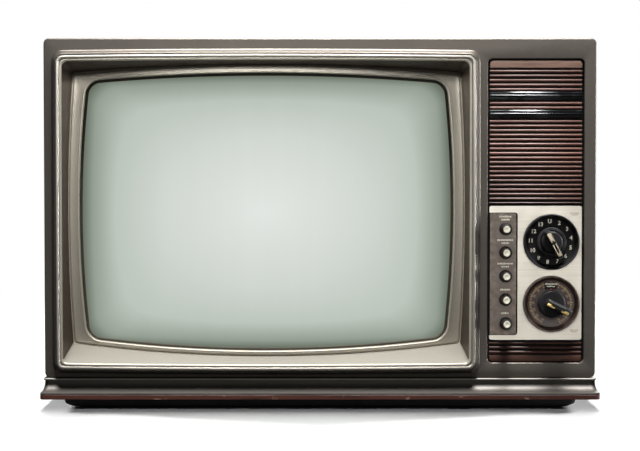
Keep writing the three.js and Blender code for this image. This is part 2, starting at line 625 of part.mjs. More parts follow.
// The row of potentiometers on their board, with a blind bore for each spindle.
function controlBoard() {
  const cans = knobHeights.map((z) => drill(8.5, KNOB.x, z, 13, 31, 12));
  const backing = box(189, 214, 30, 32, 82, 211);
  const bores = knobHeights.map((z) => drill(SHAFT.bore, KNOB.x, z, 10, 29.5, 10));
  return cut(join(...cans, backing), ...bores);
}

add("control_board", controlBoard(), board);

// ---- Channel selectors ----

// A dished ring round each selector that carries the channel numbers.
function channelDial(z, { face, rim, bore }) {
  const { radius, flange, hub, back } = DIAL;
  return turned([
    [bore, back], [bore, face], [DIAL.face, face], [radius - DIAL_RIM.foot, rim + DIAL_RIM.round],
    [radius - DIAL_RIM.inner, rim], [radius - DIAL_RIM.outer, rim], [radius, rim + DIAL_RIM.round],
    [radius, flange], [hub, flange], [hub, back], [bore, back],
  ], DIAL.x, z, 28);
}

// A selector knob: a low drum on its spindle, with a bar across it that is longer towards its pointing end.
function selectorKnob(z, drum, pointsAt, bar) {
  const hub = turned([
    [0, -drum.high], [drum.radius - 1, -drum.high], [drum.radius, -drum.high + 2], [drum.radius, -3.5],
    [SHAFT.radius, -3.5], [SHAFT.radius, SHAFT.end], [0, SHAFT.end],
  ], DIAL.x, z, 24);
  const s = new THREE.Shape();
  s.moveTo(-bar.back, 1 - drum.high).lineTo(bar.ahead, 1 - drum.high).lineTo(bar.ahead - 1, -bar.high + 4);
  s.lineTo(bar.ahead - 4, -bar.high).lineTo(2 - bar.back, -bar.high).lineTo(-bar.back, -bar.high + 3);
  // Drawn in length and depth, then given its width and turned so that its length points up.
  const grip = new THREE.ExtrudeGeometry(s, { depth: bar.wide, bevelEnabled: false }).translate(0, 0, -bar.wide / 2);
  grip.rotateY(-Math.PI / 2).rotateY((pointsAt * Math.PI) / 180).translate(DIAL.x, 0, z);
  return join(hub, grip);
}

// The fine tuning ring stands round the selector's drum, on a sleeve that reaches back to the tuner.
function fineTuningRing() {
  const { inner, outer, end } = SLEEVE;
  return turned([
    [inner, end], [inner, -3], [12.4, -3], [12.4, -7], [16, -7], [16, -2.1], [outer, -2.1], [outer, end], [inner, end],
  ], DIAL.x, DIAL.vhfZ, 24);
}

const vhfBar = { back: 14, ahead: 20, high: 25, wide: 6 };
const uhfBar = { back: 11, ahead: 23, high: 27, wide: 7 };
add("vhf_dial", channelDial(DIAL.vhfZ, VHF_DISH), blackPlastic);
add("fine_tuning_ring", fineTuningRing(), blackPlastic);
add("vhf_knob", selectorKnob(DIAL.vhfZ, { radius: 11.8, high: 10.5 }, VHF_POINTS_AT, vhfBar), blackPlastic);
add("uhf_dial", channelDial(DIAL.uhfZ, UHF_DISH), bakelite);
add("uhf_knob", selectorKnob(DIAL.uhfZ, { radius: 14.8, high: 13 }, UHF_POINTS_AT, uhfBar), blackPlastic);

function tuner(x0, x1, back, z0, z1, axisZ) {
  return cut(box(x0, x1, 14, back, z0, z1), drill(SHAFT.bore, DIAL.x, axisZ, 12, SHAFT.end + 1, 12));
}

add("vhf_tuner", tuner(222, 282, 118, 152, 214, DIAL.vhfZ), steel);
add("uhf_tuner", tuner(226, 276, 84, 92, 144, DIAL.uhfZ), steel);

// ---- Chassis ----

function chassisTray() {
  const floor = box(-282, 282, 82, 262, 36, 37.5);
  const rim = box(-282, 282, 260, 262, 37, 50);
  const front = box(-282, 282, 82, 84, 37, 46);
  return join(floor, rim, front);
}

// The main board stands on four pillars and carries its larger parts.
function circuitBoard() {
  const sheet = box(-200, 170, 140, 255, 50, 52);
  const pillars = [[-190, 148], [160, 148], [-190, 247], [160, 247]].map(([x, y]) =>
    new THREE.CylinderGeometry(3, 3, 13, 8).rotateX(Math.PI / 2).translate(x, y, 44.3));
  const cans = [[-150, 215, 12, 40], [-118, 220, 9, 30], [40, 225, 14, 46], [80, 225, 9, 28], [110, 210, 9, 30]].map(
    ([x, y, r, h]) => new THREE.CylinderGeometry(r, r, h, 12).rotateX(Math.PI / 2).translate(x, y, 51.5 + h / 2));
  const heatSink = box(-60, 0, 236, 240, 51, 96);
  return join(sheet, ...pillars, ...cans, heatSink);
}

function powerTransformer() {
  const core = box(-268, -212, 170, 240, 38, 92);
  const bobbin = box(-258, -222, 158, 252, 48, 84);
  return join(core, bobbin);
}

function flyback() {
  const core = box(196, 232, 196, 204, 38, 108);
  const top = box(196, 260, 196, 204, 100, 112);
  const winding = new THREE.CylinderGeometry(19, 19, 44, 16).rotateX(Math.PI / 2).translate(250, 200, 72);
  const foot = box(194, 272, 182, 218, 37.8, 51);
  return join(core, top, winding, foot);
}

add("chassis_tray", chassisTray(), steel);
add("circuit_board", circuitBoard(), board);
add("power_transformer", powerTransformer(), steel);
add("flyback_transformer", flyback(), bakelite);

// ---- Back cover ----

function rearCover() {
  const { rim, shoulder, bulge, end, wall } = COVER;
  const outer = [
    { half: 295, bottom: 34, top: 399.6, depth: rim },
    { half: 295, bottom: 34, top: 399.6, depth: shoulder },
    { half: 262, bottom: 44, top: 322, depth: shoulder },
    { half: 214, bottom: 62, top: 296, depth: bulge },
    { x: SCREEN.x, half: 70, bottom: 145, top: 286, depth: bulge },
    { x: SCREEN.x, half: 56, bottom: 159, top: 272, depth: end },
  ];
  const skin = outer.map((e) => edgesRing(e, 9, e.depth));
  const lining = outer.map((e) => edgesRing(e, 9, Math.max(rim, e.depth - wall), wall + 1));
  const shell = stitch([...lining.reverse(), ...skin]);
  const ledges = [-1, 1].map((side) => box(side * LEDGE.x - LEDGE.half, side * LEDGE.x + LEDGE.half,
    shoulder - 1, LEDGE.back, LEDGE.top - LEDGE.thick, LEDGE.top));
  const slots = [];
  for (const x of [-165, 130])
    for (let row = 0; row < 8; row++) {
      const z = 130 + row * 18;
      slots.push(box(x - 34, x + 34, bulge - 12, bulge + 12, z, z + 6));
    }
  const inletHole = box(120, 172, bulge - 14, bulge + 10, 76, 108);
  const terminalHole = box(-190, -96, bulge - 14, bulge + 10, 76, 108);
  return cut(join(shell, ...ledges), ...slots, inletHole, terminalHole);
}

// The recessed mains socket: a cup with two pins.
function mainsInlet() {
  const cup = cut(box(120.4, 171.6, 318, 344, 76.4, 107.6), box(126, 166, 324, 350, 82, 102));
  const pins = [139, 153].map((x) => new THREE.CylinderGeometry(1.6, 1.6, 11, 8).translate(x, 328, 92));
  return join(cup, ...pins);
}

// The aerial terminals: a strip with four screws.
function aerialTerminals() {
  const strip = box(-189.6, -96.4, 334, 343.5, 76.4, 107.6);
  const screws = [-176, -158, -128, -110].map((x) => new THREE.CylinderGeometry(4, 4, 7, 10).translate(x, 345, 92));
  return join(strip, ...screws);
}

add("rear_cover", rearCover(), blackPlastic);
add("mains_inlet", mainsInlet(), bakelite);
add("aerial_terminals", aerialTerminals(), bakelite);

// ---- Set-back aerial ----

function aerialMount() {
  const { half, front, back, rise } = AERIAL.block;
  const block = roundedPlate(-half, half, AERIAL.z - rise, AERIAL.z + rise, 6, front, back - front, 3);
  const wells = [-1, 1].map((side) => drill(5.4, side * AERIAL.post, AERIAL.z, back - 8, back + 1, 14));
  return cut(block, ...wells);
}

// A piece that runs along X from the middle of the set, drawn for the right side.
const alongX = (radius, from, to, segments = 12) =>
  new THREE.CylinderGeometry(radius, radius, to - from, segments).rotateZ(Math.PI / 2)
    .translate((from + to) / 2, AERIAL.axisDepth, AERIAL.z);

// A short upright cylinder on the pin that the rod tilts about.
const onPin = (radius, low, high, segments = 14) =>
  new THREE.CylinderGeometry(radius, radius, high - low, segments).rotateX(Math.PI / 2)
    .translate(AERIAL.pivot, AERIAL.axisDepth, AERIAL.z + (low + high) / 2);

// The swivel: a disc that turns on the block, with a fork that holds the rod's foot on a pin.
function swivel() {
  const { back } = AERIAL.block;
  const disc = drill(11, AERIAL.post, AERIAL.z, back + GAP, back + 10.5, 20);
  const spigot = drill(4.8, AERIAL.post, AERIAL.z, back - 7.5, back + 1, 14);
  const cheeks = [[3.3, 6.4], [-6.4, -3.3]].map(([low, high]) => join(
    box(AERIAL.post, AERIAL.pivot, AERIAL.axisDepth - 4.7, AERIAL.axisDepth + 4.7, AERIAL.z + low, AERIAL.z + high),
    onPin(4.7, low, high)));
  return join(cut(join(disc, spigot, ...cheeks), onPin(6.8, -3.3, 3.3, 18)), onPin(1.5, -6, 6, 10));
}

// The outer tube and its flat foot.
function rodOuter() {
  const tongue = box(AERIAL.pivot, ROD.start[0] + 2, AERIAL.axisDepth - 2.6, AERIAL.axisDepth + 2.6, AERIAL.z - 3, AERIAL.z + 3);
  const tube = alongX(ROD.outer[0], ROD.start[0], ROD.end[0]);
  const body = join(onPin(4.4, -3, 3), tongue, tube);
  return cut(body, onPin(1.9, -4, 4, 10), alongX(ROD.bore[0], ROD.start[0] + 8, ROD.end[0] + 5));
}

const rodMiddle = () =>
  cut(alongX(ROD.outer[1], ROD.start[1], ROD.end[1]), alongX(ROD.bore[1], ROD.start[1] + 8, ROD.end[1] + 5));

function rodTip() {
  const [start, end] = [ROD.start[2], ROD.end[2]];
  return join(alongX(ROD.outer[2], start, end), alongX(3.4, end - 5, end + 4));
}

// The left half of the aerial is the right half mirrored.
function addAerial(side) {
  const place = (name, geometry, material) =>
    add(`${side}_${name}`, side === "left" ? closed(geometry).scale(-1, 1, 1) : geometry, material);
  place("aerial_swivel", swivel(), blackPlastic);
  place("aerial_rod_outer", rodOuter(), chrome);
  place("aerial_rod_middle", rodMiddle(), chrome);
  place("aerial_rod_tip", rodTip(), chrome);
}

add("aerial_mount", aerialMount(), blackPlastic);
addAerial("left");
addAerial("right");

// ---- Frame ----

// The knobs reach furthest forward and the neck's housing furthest back.
const bounds = new THREE.Box3().setFromObject(set);
set.position.y = -(bounds.min.y + bounds.max.y) / 2;

export default set;
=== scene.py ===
"""A table-top colour television of the 1970s, with its set-back dipole aerial stowed behind it.

Sizes are in millimetres. A place is (across, depth, up): depth is counted from the cabinet's face, and grows
towards the back.
"""
import json
import math
import random

import bmesh
import bpy
from mathutils import Matrix, Vector

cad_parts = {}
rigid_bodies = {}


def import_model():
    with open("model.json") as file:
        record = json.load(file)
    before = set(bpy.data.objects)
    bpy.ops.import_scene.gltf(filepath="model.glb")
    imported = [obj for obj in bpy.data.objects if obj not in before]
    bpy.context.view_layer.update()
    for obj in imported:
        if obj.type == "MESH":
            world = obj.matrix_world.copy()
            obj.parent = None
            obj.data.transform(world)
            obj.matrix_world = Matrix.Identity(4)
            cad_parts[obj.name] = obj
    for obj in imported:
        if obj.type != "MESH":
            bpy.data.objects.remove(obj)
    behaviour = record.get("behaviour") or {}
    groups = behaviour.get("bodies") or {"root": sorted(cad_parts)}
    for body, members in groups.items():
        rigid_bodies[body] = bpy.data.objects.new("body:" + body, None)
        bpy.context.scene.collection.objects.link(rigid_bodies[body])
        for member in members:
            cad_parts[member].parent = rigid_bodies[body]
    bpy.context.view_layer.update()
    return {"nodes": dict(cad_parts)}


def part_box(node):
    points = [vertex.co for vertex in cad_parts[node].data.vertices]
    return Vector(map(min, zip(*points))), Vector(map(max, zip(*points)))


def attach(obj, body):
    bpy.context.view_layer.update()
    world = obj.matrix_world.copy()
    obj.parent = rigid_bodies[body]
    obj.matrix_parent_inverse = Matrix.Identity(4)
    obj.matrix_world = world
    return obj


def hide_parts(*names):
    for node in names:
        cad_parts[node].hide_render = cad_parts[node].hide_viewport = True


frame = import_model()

# ---- Sizes, the same as the CAD model's ----

MM = 0.001
FACE_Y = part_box("plinth")[0].y * 1000 + 14.0

CABINET = {"half": 299.5, "bottom": 35.4, "top": 404.0, "depth": 38.0, "wall": 4.0, "round": 1.4}
WRAP = {"half": 298.5, "top": 403.0, "back": 280.0, "wall": 3.0, "corner": 6.0}
PLINTH = {"half": 303.5, "front": -14.0, "back": 290.0, "bottom": 13.0, "lip": 18.5, "cove": 20.8,
          "top": 35.1}
BEAD = {"proud": 3.0, "high": 2.4}
BASE = {"half": 281.6, "front": 16.0, "back": 246.0, "bottom": 1.5}
SCREEN = (-58.6, 215.6)
APERTURE = (223.3, 166.3)
MOUTH = (220.0, 163.0)
RIM_FOOT = (223.0, 166.0)
MASK_BACK = (220.3, 163.3)
MASK_FLANGE = (228.5, 171.0)
VALLEY = {"half": (212.9, 148.65), "bulge": (4.4, 8.0, 12.0), "corner": 4.0, "dz": 3.25}
LIP = {"half": (197.2, 141.6), "bulge": (7.4, 8.2, 11.1), "corner": 14.0, "dz": 1.3}
BOW = (0.5, 1.6)
GLASS = {"radius": 900.0, "depth": 1.0, "edge": 75.0, "wall": 10.0, "half": (209.0, 152.0),
         "bulge": (5.0, 6.0), "corner": 26.0}
PANEL = {"x": 234.3, "half": 52.4, "bottom": 51.6, "top": 381.9, "corner": 5.4}
GRILLE_HALF = 50.0
GRILLE_LEFT = PANEL["x"] - GRILLE_HALF
GRILLE_RIGHT = PANEL["x"] + GRILLE_HALF
PITCH = 4.94
GRILLE_TOP = 379.8
GRILLE_BOTTOM = 224.4
HEAD_BAND = 8.2
UPPER_BAND = GRILLE_TOP - HEAD_BAND - 5 * PITCH
LOWER_BAND = UPPER_BAND - 4 * PITCH
LOUVRE = {"top": 75.6, "bottom": 53.0, "strip": 6.8}
SKIN = {"front": 5.0, "back": 6.6}
CORNER = 3.4
PLATE = {"half": 50.1, "bottom": 76.6, "top": 222.4, "front": 1.5, "thick": 1.6}
STRIP = {"left": 184.9, "right": 213.4, "bottom": 82.2, "top": 214.6, "front": 2.4}
NAMES = ["tint", "color", "contrast", "brightness", "volume"]
KNOB = {"x": 201.7, "top": 197.3, "pitch": 25.6, "length": 15.5}
PULLED_OUT = 5.0
DIAL_X = 251.0
DIAL_R = 30.4
DIAL_FACE_R = 25.6
DIAL_HOLE_R = 27.2
KNOB_HOLE_R = 3.6
VHF_NUMERALS_R = 22.2
UHF_NUMERALS_R = 19.2
TICKS = {"inner": 21.0, "short": 23.2, "long": 23.8}
VHF_DISH = {"face": 0.4, "rim": -5.5, "bore": 8.6}
UHF_DISH = {"face": 1.0, "rim": -8.0, "bore": 4.0}
VHF_POINTS_AT = 152.0
UHF_POINTS_AT = 116.0
UHF_SWEEP = 308.0
VHF_Z = 183.4
UHF_Z = 116.3


def place(x, depth, z):
    return Vector((x, FACE_Y + depth, z)) * MM


def srgb(red, green, blue):
    """A linear colour from display values of 0 to 255."""
    def linear(v):
        v = v / 255
        return v / 12.92 if v <= 0.04045 else ((v + 0.055) / 1.055) ** 2.4
    return (linear(red), linear(green), linear(blue), 1.0)


# ---- Meshes ----

def quarter(centre, radius, start, steps=8, way=1):
    """Points along a quarter turn about a centre. start counts quarter turns, and way -1 goes backwards."""
    turns = [math.pi / 2 * (start + way * i / steps) for i in range(steps + 1)]
    return [(centre[0] + radius * math.cos(t), centre[1] + radius * math.sin(t)) for t in turns]


def step_to(a, b, t):
    return tuple(p + (q - p) * t for p, q in zip(a, b))


def outline(half, corner, bulge=(0.0, 0.0), side_steps=1, corner_steps=8):
    """A rectangle with round corners and sides that may bulge, as (across, up) pairs about its centre."""
    w, h = half
    arcs = [
        quarter((sx * (w - corner), sz * (h - corner)), corner, start, corner_steps)
        for start, (sx, sz) in enumerate([(1, 1), (-1, 1), (-1, -1), (1, -1)])
    ]
    pairs = []
    for arc, after in zip(arcs, arcs[1:] + arcs[:1]):
        pairs += arc + [step_to(arc[-1], after[0], i / side_steps) for i in range(1, side_steps)]
    side, upper, lower = bulge if len(bulge) == 3 else (*bulge, bulge[1])
    bulged = []
    for x, z in pairs:
        end = lower if z < 0 else upper
        bulged.append((x + side * (x / w) * (1 - (z / h) ** 2), z + end * (z / h) * (1 - (x / w) ** 2)))
    return bulged


def grown(half, by):
    return tuple(v + by for v in half)


def stand(pairs, centre, depth):
    """An outline facing the front, at one depth or at a depth that depends on the place on the screen."""
    at = depth if callable(depth) else (lambda x, z: depth)
    made = []
    for x, z in pairs:
        px, pz = centre[0] + x, centre[1] + z
        made.append((px, at(px - SCREEN[0], pz - SCREEN[1]), pz))
    return made


def between(a, b, t):
    return [step_to(pa, pb, t) for pa, pb in zip(a, b)]


def circle(radius, x, depth, z, steps=48):
    turns = [2 * math.pi * i / steps for i in range(steps)]
    return [(x + radius * math.cos(t), depth, z + radius * math.sin(t)) for t in turns]


class Form:
    """A mesh in the making. Each point carries how much wear it shows, from 0 to 1."""

    def __init__(self):
        self.mesh = bmesh.new()
        self.wear = self.mesh.verts.layers.float.new("wear")
        self.reach = self.mesh.verts.layers.float.new("reach")

    def ring(self, points, wear=0.0, reach=0.0):
        made = []
        for p in points:
            vertex = self.mesh.verts.new(place(*p))
            vertex[self.wear] = wear
            vertex[self.reach] = reach
            made.append(vertex)
        return made

    def strip(self, a, b, slot=0):
        for i in range(len(a)):
            j = (i + 1) % len(a)
            face = self.mesh.faces.new((a[i], a[j], b[j], b[i]))
            face.material_index = slot

    def cap(self, ring, slot=0):
        face = self.mesh.faces.new(ring)
        face.material_index = slot

    def loft(self, rings, wear=None, loop=False, caps=True, slot=0):
        """Joins rings of points by strips, and returns the rings of vertices."""
        wear = wear or [0.0] * len(rings)
        made = [self.ring(points, w) for points, w in zip(rings, wear)]
        for a, b in zip(made, made[1:]):
            self.strip(a, b, slot)
        if loop:
            self.strip(made[-1], made[0], slot)
        elif caps:
            self.cap(made[0], slot)
            self.cap(made[-1], slot)
        return made

    def fill(self, *rings, slot=0):
        """Closes a flat area between an outer ring and the rings of its holes."""
        edges = []
        for ring in rings:
            for i, vertex in enumerate(ring):
                pair = (vertex, ring[(i + 1) % len(ring)])
                edges.append(self.mesh.edges.get(pair) or self.mesh.edges.new(pair))
        made = bmesh.ops.triangle_fill(self.mesh, use_beauty=True, edges=edges)
        for part in made["geom"]:
            if isinstance(part, bmesh.types.BMFace):
                part.material_index = slot

    def finish(self, name, materials, body="cabinet", smooth=35.0, bevel=0.0, replaces=()):
        bmesh.ops.recalc_face_normals(self.mesh, faces=self.mesh.faces)
        data = bpy.data.meshes.new(name)
        self.mesh.to_mesh(data)
        self.mesh.free()
        finish_object(name, data, materials, body, smooth, bevel, replaces)


def finish_object(name, data, materials, body, smooth=35.0, bevel=0.0, replaces=()):
    """Makes an object of a mesh, gives it its materials and joins it to a body."""
    for polygon in data.polygons:
        polygon.use_smooth = True
    data.set_sharp_from_angle(angle=math.radians(smooth))
    made = bpy.data.objects.new(name, data)
    bpy.context.scene.collection.objects.link(made)
    for material in materials if isinstance(materials, list) else [materials]:
        data.materials.append(material)
    if bevel:
        add_bevel(made, bevel)
    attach(made, body)
    if replaces:
        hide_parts(*replaces)


def add_bevel(made, width, segments=3, angle=35.0):
    modifier = made.modifiers.new("edges", "BEVEL")
    modifier.width = width * MM
    modifier.segments = segments
    modifier.limit_method = "ANGLE"
    modifier.angle_limit = math.radians(angle)
    modifier.harden_normals = True


def turned(form, profile, x, z, steps=48, wear=None, flutes=0, flute_depth=0.0, flute_range=None):
    """Turns a profile of (radius, depth) pairs about an axis from front to back. Radius 0 closes an end."""
    rings = []
    for (radius, depth), w in zip(profile, wear or [0.0] * len(profile)):
        if radius <= 0:
            rings.append(form.ring([(x, depth, z)], w))
            continue
        points = []
        fluted = flutes and flute_range[0] <= depth <= flute_range[1]
        for i in range(steps):
            turn = 2 * math.pi * i / steps
            r = radius - (flute_depth * (0.5 - 0.5 * math.cos(flutes * turn)) ** 0.6 if fluted else 0.0)
            points.append((x + r * math.cos(turn), depth, z + r * math.sin(turn)))
        rings.append(form.ring(points, w))
    for a, b in zip(rings, rings[1:]):
        for i in range(steps):
            j = (i + 1) % steps
            corners = []
            for ring, order in ((a, (i, j)), (b, (j, i))):
                corners += ring if len(ring) == 1 else [ring[order[0]], ring[order[1]]]
            if len(corners) > 2:
                form.mesh.faces.new(corners)


# ---- Materials ----

class Paint:
    """A procedural material. Patterns are laid out in the object's own metres."""

    def __init__(self, name, color, roughness, metallic=0.0, specular=0.5):
        self.material = bpy.data.materials.new(name)
        self.material.use_nodes = True
        self.nodes = self.material.node_tree.nodes
        self.links = self.material.node_tree.links
        self.shader = self.nodes["Principled BSDF"]
        self.feed(self.shader, {"Base Color": color, "Roughness": roughness, "Metallic": metallic,
                                "Specular IOR Level": specular})
        self.where = self.nodes.new("ShaderNodeTexCoord").outputs["Object"]
        self.normal = None

    def feed(self, node, values):
        """Sets a node's sockets to plain values, or links them to the outputs of other nodes."""
        for key, value in values.items():
            if isinstance(value, bpy.types.NodeSocket):
                self.links.new(value, node.inputs[key])
            else:
                node.inputs[key].default_value = value

    def add(self, kind, values, output=0):
        """Adds a node, and returns one of its outputs."""
        node = self.nodes.new("ShaderNode" + kind)
        self.feed(node, values)
        return node.outputs[output]

    def stretched(self, scale):
        return self.add("Mapping", {"Vector": self.where, "Scale": scale})

    def noise(self, scale, stretch=(1, 1, 1), detail=4.0, rough=0.55, distortion=0.0):
        return self.add("TexNoise", {"Vector": self.stretched(stretch), "Scale": scale, "Detail": detail,
                                     "Roughness": rough, "Distortion": distortion}, "Fac")

    def flecks(self, scale):
        return self.add("TexVoronoi", {"Vector": self.stretched((1, 1, 1)), "Scale": scale}, "Distance")

    def attribute(self, name):
        node = self.nodes.new("ShaderNodeAttribute")
        node.attribute_name = name
        return node.outputs["Fac"]

    def ramp(self, value, stops):
        node = self.nodes.new("ShaderNodeValToRGB")
        elements = node.color_ramp.elements
        elements[0].position, elements[0].color = stops[0]
        elements[1].position, elements[1].color = stops[-1]
        for position, color in stops[1:-1]:
            elements.new(position).color = color
        self.links.new(value, node.inputs["Fac"])
        return node.outputs["Color"]

    def span(self, value, low, high, to_low=0.0, to_high=1.0):
        """Maps low to high onto another range, and holds the ends."""
        return self.add("MapRange", {"Value": value, "From Min": low, "From Max": high, "To Min": to_low,
                                     "To Max": to_high}, "Result")

    def times(self, a, b):
        node = self.nodes.new("ShaderNodeMath")
        node.operation = "MULTIPLY"
        self.feed(node, {0: a, 1: b})
        return node.outputs[0]

    def mix(self, factor, a, b, blend="MIX"):
        node = self.nodes.new("ShaderNodeMix")
        node.data_type = "RGBA"
        node.blend_type = blend
        self.feed(node, {0: factor, 6: a, 7: b})
        return node.outputs[2]

    def use(self, name, value):
        self.links.new(value, self.shader.inputs[name])

    def bump(self, height, distance, strength):
        """Adds relief, on top of the relief that is there."""
        values = {"Distance": distance, "Strength": strength, "Height": height}
        if self.normal:
            values["Normal"] = self.normal
        self.normal = self.add("Bump", values)
        self.use("Normal", self.normal)


def shade(color, factor, lift=0.0):
    """A darker or lighter colour."""
    return tuple(min(1.0, v * factor + lift) for v in color[:3]) + (1.0,)


def drawn_out(axis, amount):
    """A scale that draws a pattern out along one axis."""
    return tuple(amount if i == axis else 1.0 for i in range(3))


def painted_metal(name, color, worn, roughness, metallic):
    """Satin paint with metal flake, dust, rubbed edges and a few long scratches."""
    p = Paint(name, color, roughness, metallic)
    base = p.mix(p.span(p.noise(5.0, detail=3.0), 0.3, 0.7), shade(color, 0.93), shade(color, 1.08))
    flake = p.span(p.noise(2600.0, detail=1.0), 0.35, 0.7)
    base = p.mix(p.times(flake, 0.22), base, shade(color, 1.08))
    grain = p.span(p.noise(620.0, detail=3.0), 0.35, 0.65)
    base = p.mix(p.times(grain, 0.3), base, shade(color, 0.82))
    scratch = p.span(p.noise(420.0, drawn_out(0, 0.03), detail=2.0), 0.70, 0.76)
    scratch = p.times(scratch, p.span(p.noise(14.0), 0.55, 0.68))
    base = p.mix(p.times(scratch, 0.15), base, worn)
    rub = p.times(p.attribute("wear"), p.span(p.noise(75.0, detail=7.0), 0.55, 0.78))
    p.use("Base Color", p.mix(p.times(rub, 0.15), base, worn))
    p.use("Roughness", p.span(p.noise(30.0, detail=5.0), 0.25, 0.75, roughness - 0.015, roughness + 0.02))
    p.bump(p.noise(1600.0, detail=1.0), 0.000004, 0.2)
    return p.material


def walnut(name, grain, dark, light, roughness=0.42, scale=1.0, chipped=None):
    """Simulated walnut: dark pores and soft bands along one axis. A chipped edge shows the colour below."""
    p = Paint(name, light, roughness)
    bands = p.noise(38.0 * scale, drawn_out(grain, 0.045), detail=6.0, distortion=0.6)
    middle = tuple((a + b) / 2 for a, b in zip(dark, light))
    base = p.ramp(bands, [(0.30, dark), (0.47, middle), (0.66, light)])
    pores = p.span(p.noise(900.0, drawn_out(grain, 0.02), detail=2.0), 0.56, 0.68)
    base = p.mix(p.times(pores, 0.55), base, shade(dark, 0.45))
    if chipped:
        chips = p.span(p.noise(110.0, drawn_out(grain, 0.5), detail=6.0), 0.62, 0.68)
        base = p.mix(p.times(chips, p.attribute("wear")), base, chipped)
    p.use("Base Color", base)
    p.use("Roughness", p.span(pores, 0.0, 1.0, roughness, roughness + 0.2))
    p.bump(pores, 0.00008, 0.5)
    return p.material


def moulded(name, color, roughness, grain=1400.0, depth=0.00008, specular=0.5):
    """Moulded plastic: fine leather-like grain, uneven gloss and a little dust."""
    p = Paint(name, color, roughness, specular=specular)
    cloud = p.span(p.noise(18.0, detail=6.0), 0.35, 0.75)
    base = p.mix(p.times(cloud, 0.4), color, shade(color, 1.7, 0.012))
    rub = p.times(p.attribute("wear"), p.span(p.noise(160.0, detail=5.0), 0.4, 0.65))
    p.use("Base Color", p.mix(p.times(rub, 0.6), base, shade(color, 3, 0.06)))
    p.use("Roughness", p.span(p.noise(60.0, detail=4.0), 0.3, 0.7, roughness - 0.06, roughness + 0.1))
    p.bump(p.flecks(grain), depth, 0.6)
    return p.material


def metal(name, color, roughness, brush=None, tarnish=None, metallic=1.0):
    """Bare or plated metal. brush is the axis of its brushing."""
    p = Paint(name, color, roughness, metallic)
    base = color
    if brush is not None:
        lines = p.noise(1500.0, drawn_out(brush, 0.006), detail=3.0)
        base = p.mix(p.span(lines, 0.3, 0.7), shade(color, 0.86), color)
        p.bump(lines, 0.00003, 0.6)
    if tarnish:
        spots = p.span(p.noise(120.0, detail=7.0, rough=0.65), 0.56, 0.72)
        base = p.mix(p.times(spots, 0.75), base, tarnish)
        p.bump(spots, 0.00004, 0.5)
    p.use("Base Color", base)
    p.use("Roughness", p.span(p.noise(45.0, detail=6.0), 0.3, 0.75, roughness * 0.7, roughness * 1.5))
    return p.material


taupe = painted_metal("taupe_paint", srgb(112, 106, 99), srgb(206, 200, 188), 0.34, 0.7)
# The plinth's paint, a darker copy of the cabinet's taupe: painted shade for the cove under the bezel.
plinth_taupe_painted_shade = painted_metal("plinth_taupe_painted_shade_paint", srgb(100, 95, 89), srgb(160, 152, 140), 0.45, 0.4)
pewter = painted_metal("pewter_paint", srgb(180, 174, 161), srgb(204, 198, 184), 0.42, 0.4)
# A darker, browner copy of the mask's paint for the recess walls: painted shade.
wall_painted_shade = painted_metal("wall_painted_shade_paint", srgb(80, 67, 59), srgb(170, 160, 142), 0.42, 0.6)
# A lighter, greyer copy of the mask's paint for the up-facing bottom wall: painted light from above.
sill_painted_light = painted_metal("sill_painted_light_paint", srgb(150, 146, 136), srgb(186, 182, 172), 0.6, 0.1)
# A lighter copy of the taupe for the bead at the top of the plinth: a painted highlight line.
bead_highlight_taupe = painted_metal("bead_highlight_paint", srgb(178, 172, 163), srgb(200, 194, 184), 0.5, 0.2)
black_inside = moulded("inside_black", srgb(20, 19, 20), 0.6)
chrome = painted_metal("mask_chrome", srgb(206, 201, 192), srgb(226, 222, 212), 0.36, 0.9)
rod_chrome = metal("rod_chrome", srgb(226, 226, 224), 0.14, tarnish=srgb(150, 146, 138))
walnut_y = walnut("walnut_wrap", 1, srgb(52, 30, 22), srgb(112, 72, 52), scale=0.6)
band_wood = walnut("walnut_band", 0, srgb(66, 34, 28), srgb(122, 74, 62), chipped=srgb(176, 154, 128))
slat_wood = walnut("walnut_slats", 0, srgb(52, 31, 25), srgb(116, 80, 68), roughness=0.38)
# A lighter copy of the slat walnut for the head strip above the slats: painted light from the front.
head_walnut_painted_light = walnut("walnut_head_painted_light", 0, srgb(116, 91, 79), srgb(158, 129, 116), roughness=0.36)
black = moulded("black_plastic", srgb(34, 33, 35), 0.42)
# A mid grey for the black base tray: painted light for the fill that does not reach under the plinth.
base_grey_painted_light = moulded("base_grey_painted_light_paint", srgb(96, 94, 96), 0.5)
back_black = moulded("back_cover_plastic", srgb(34, 32, 31), 0.55, grain=700.0, depth=0.0002)
bakelite = moulded("brown_moulding", srgb(48, 36, 30), 0.35)
# Dark grey for the ring between the mask's inner bead and the glass.
dark_ring = moulded("dark_ring_grey", srgb(84, 80, 70), 0.6, specular=0.3)
rubber = moulded("foot_rubber", srgb(28, 27, 26), 0.85)
umber = moulded("umber_paint", srgb(93, 81, 71), 0.5)
cream = metal("knob_disc", srgb(194, 190, 172), 0.45, tarnish=srgb(170, 160, 130), metallic=0.25)
champagne = metal("champagne_foil", srgb(232, 226, 212), 0.42, brush=0, metallic=0.15)
steel = metal("zinc_steel", srgb(150, 152, 154), 0.42, tarnish=srgb(110, 106, 96))
tin = metal("tinned_can", srgb(176, 178, 176), 0.36, brush=2, tarnish=srgb(120, 118, 108))
copper = metal("copper_winding", srgb(150, 76, 46), 0.4, brush=1, tarnish=srgb(90, 46, 30), metallic=0.8)
board = moulded("phenolic_board", srgb(132, 96, 52), 0.6, grain=500.0)
paper = moulded("paper_cone", srgb(40, 38, 34), 0.9, grain=300.0, depth=0.0003)
dag = moulded("tube_coating", srgb(56, 58, 62), 0.7, grain=900.0)
white_print = moulded("white_print", srgb(202, 196, 180), 0.5)
faded_print = moulded("faded_print", srgb(160, 142, 122), 0.5)
gold_print = moulded("gold_print", srgb(176, 144, 98), 0.45)
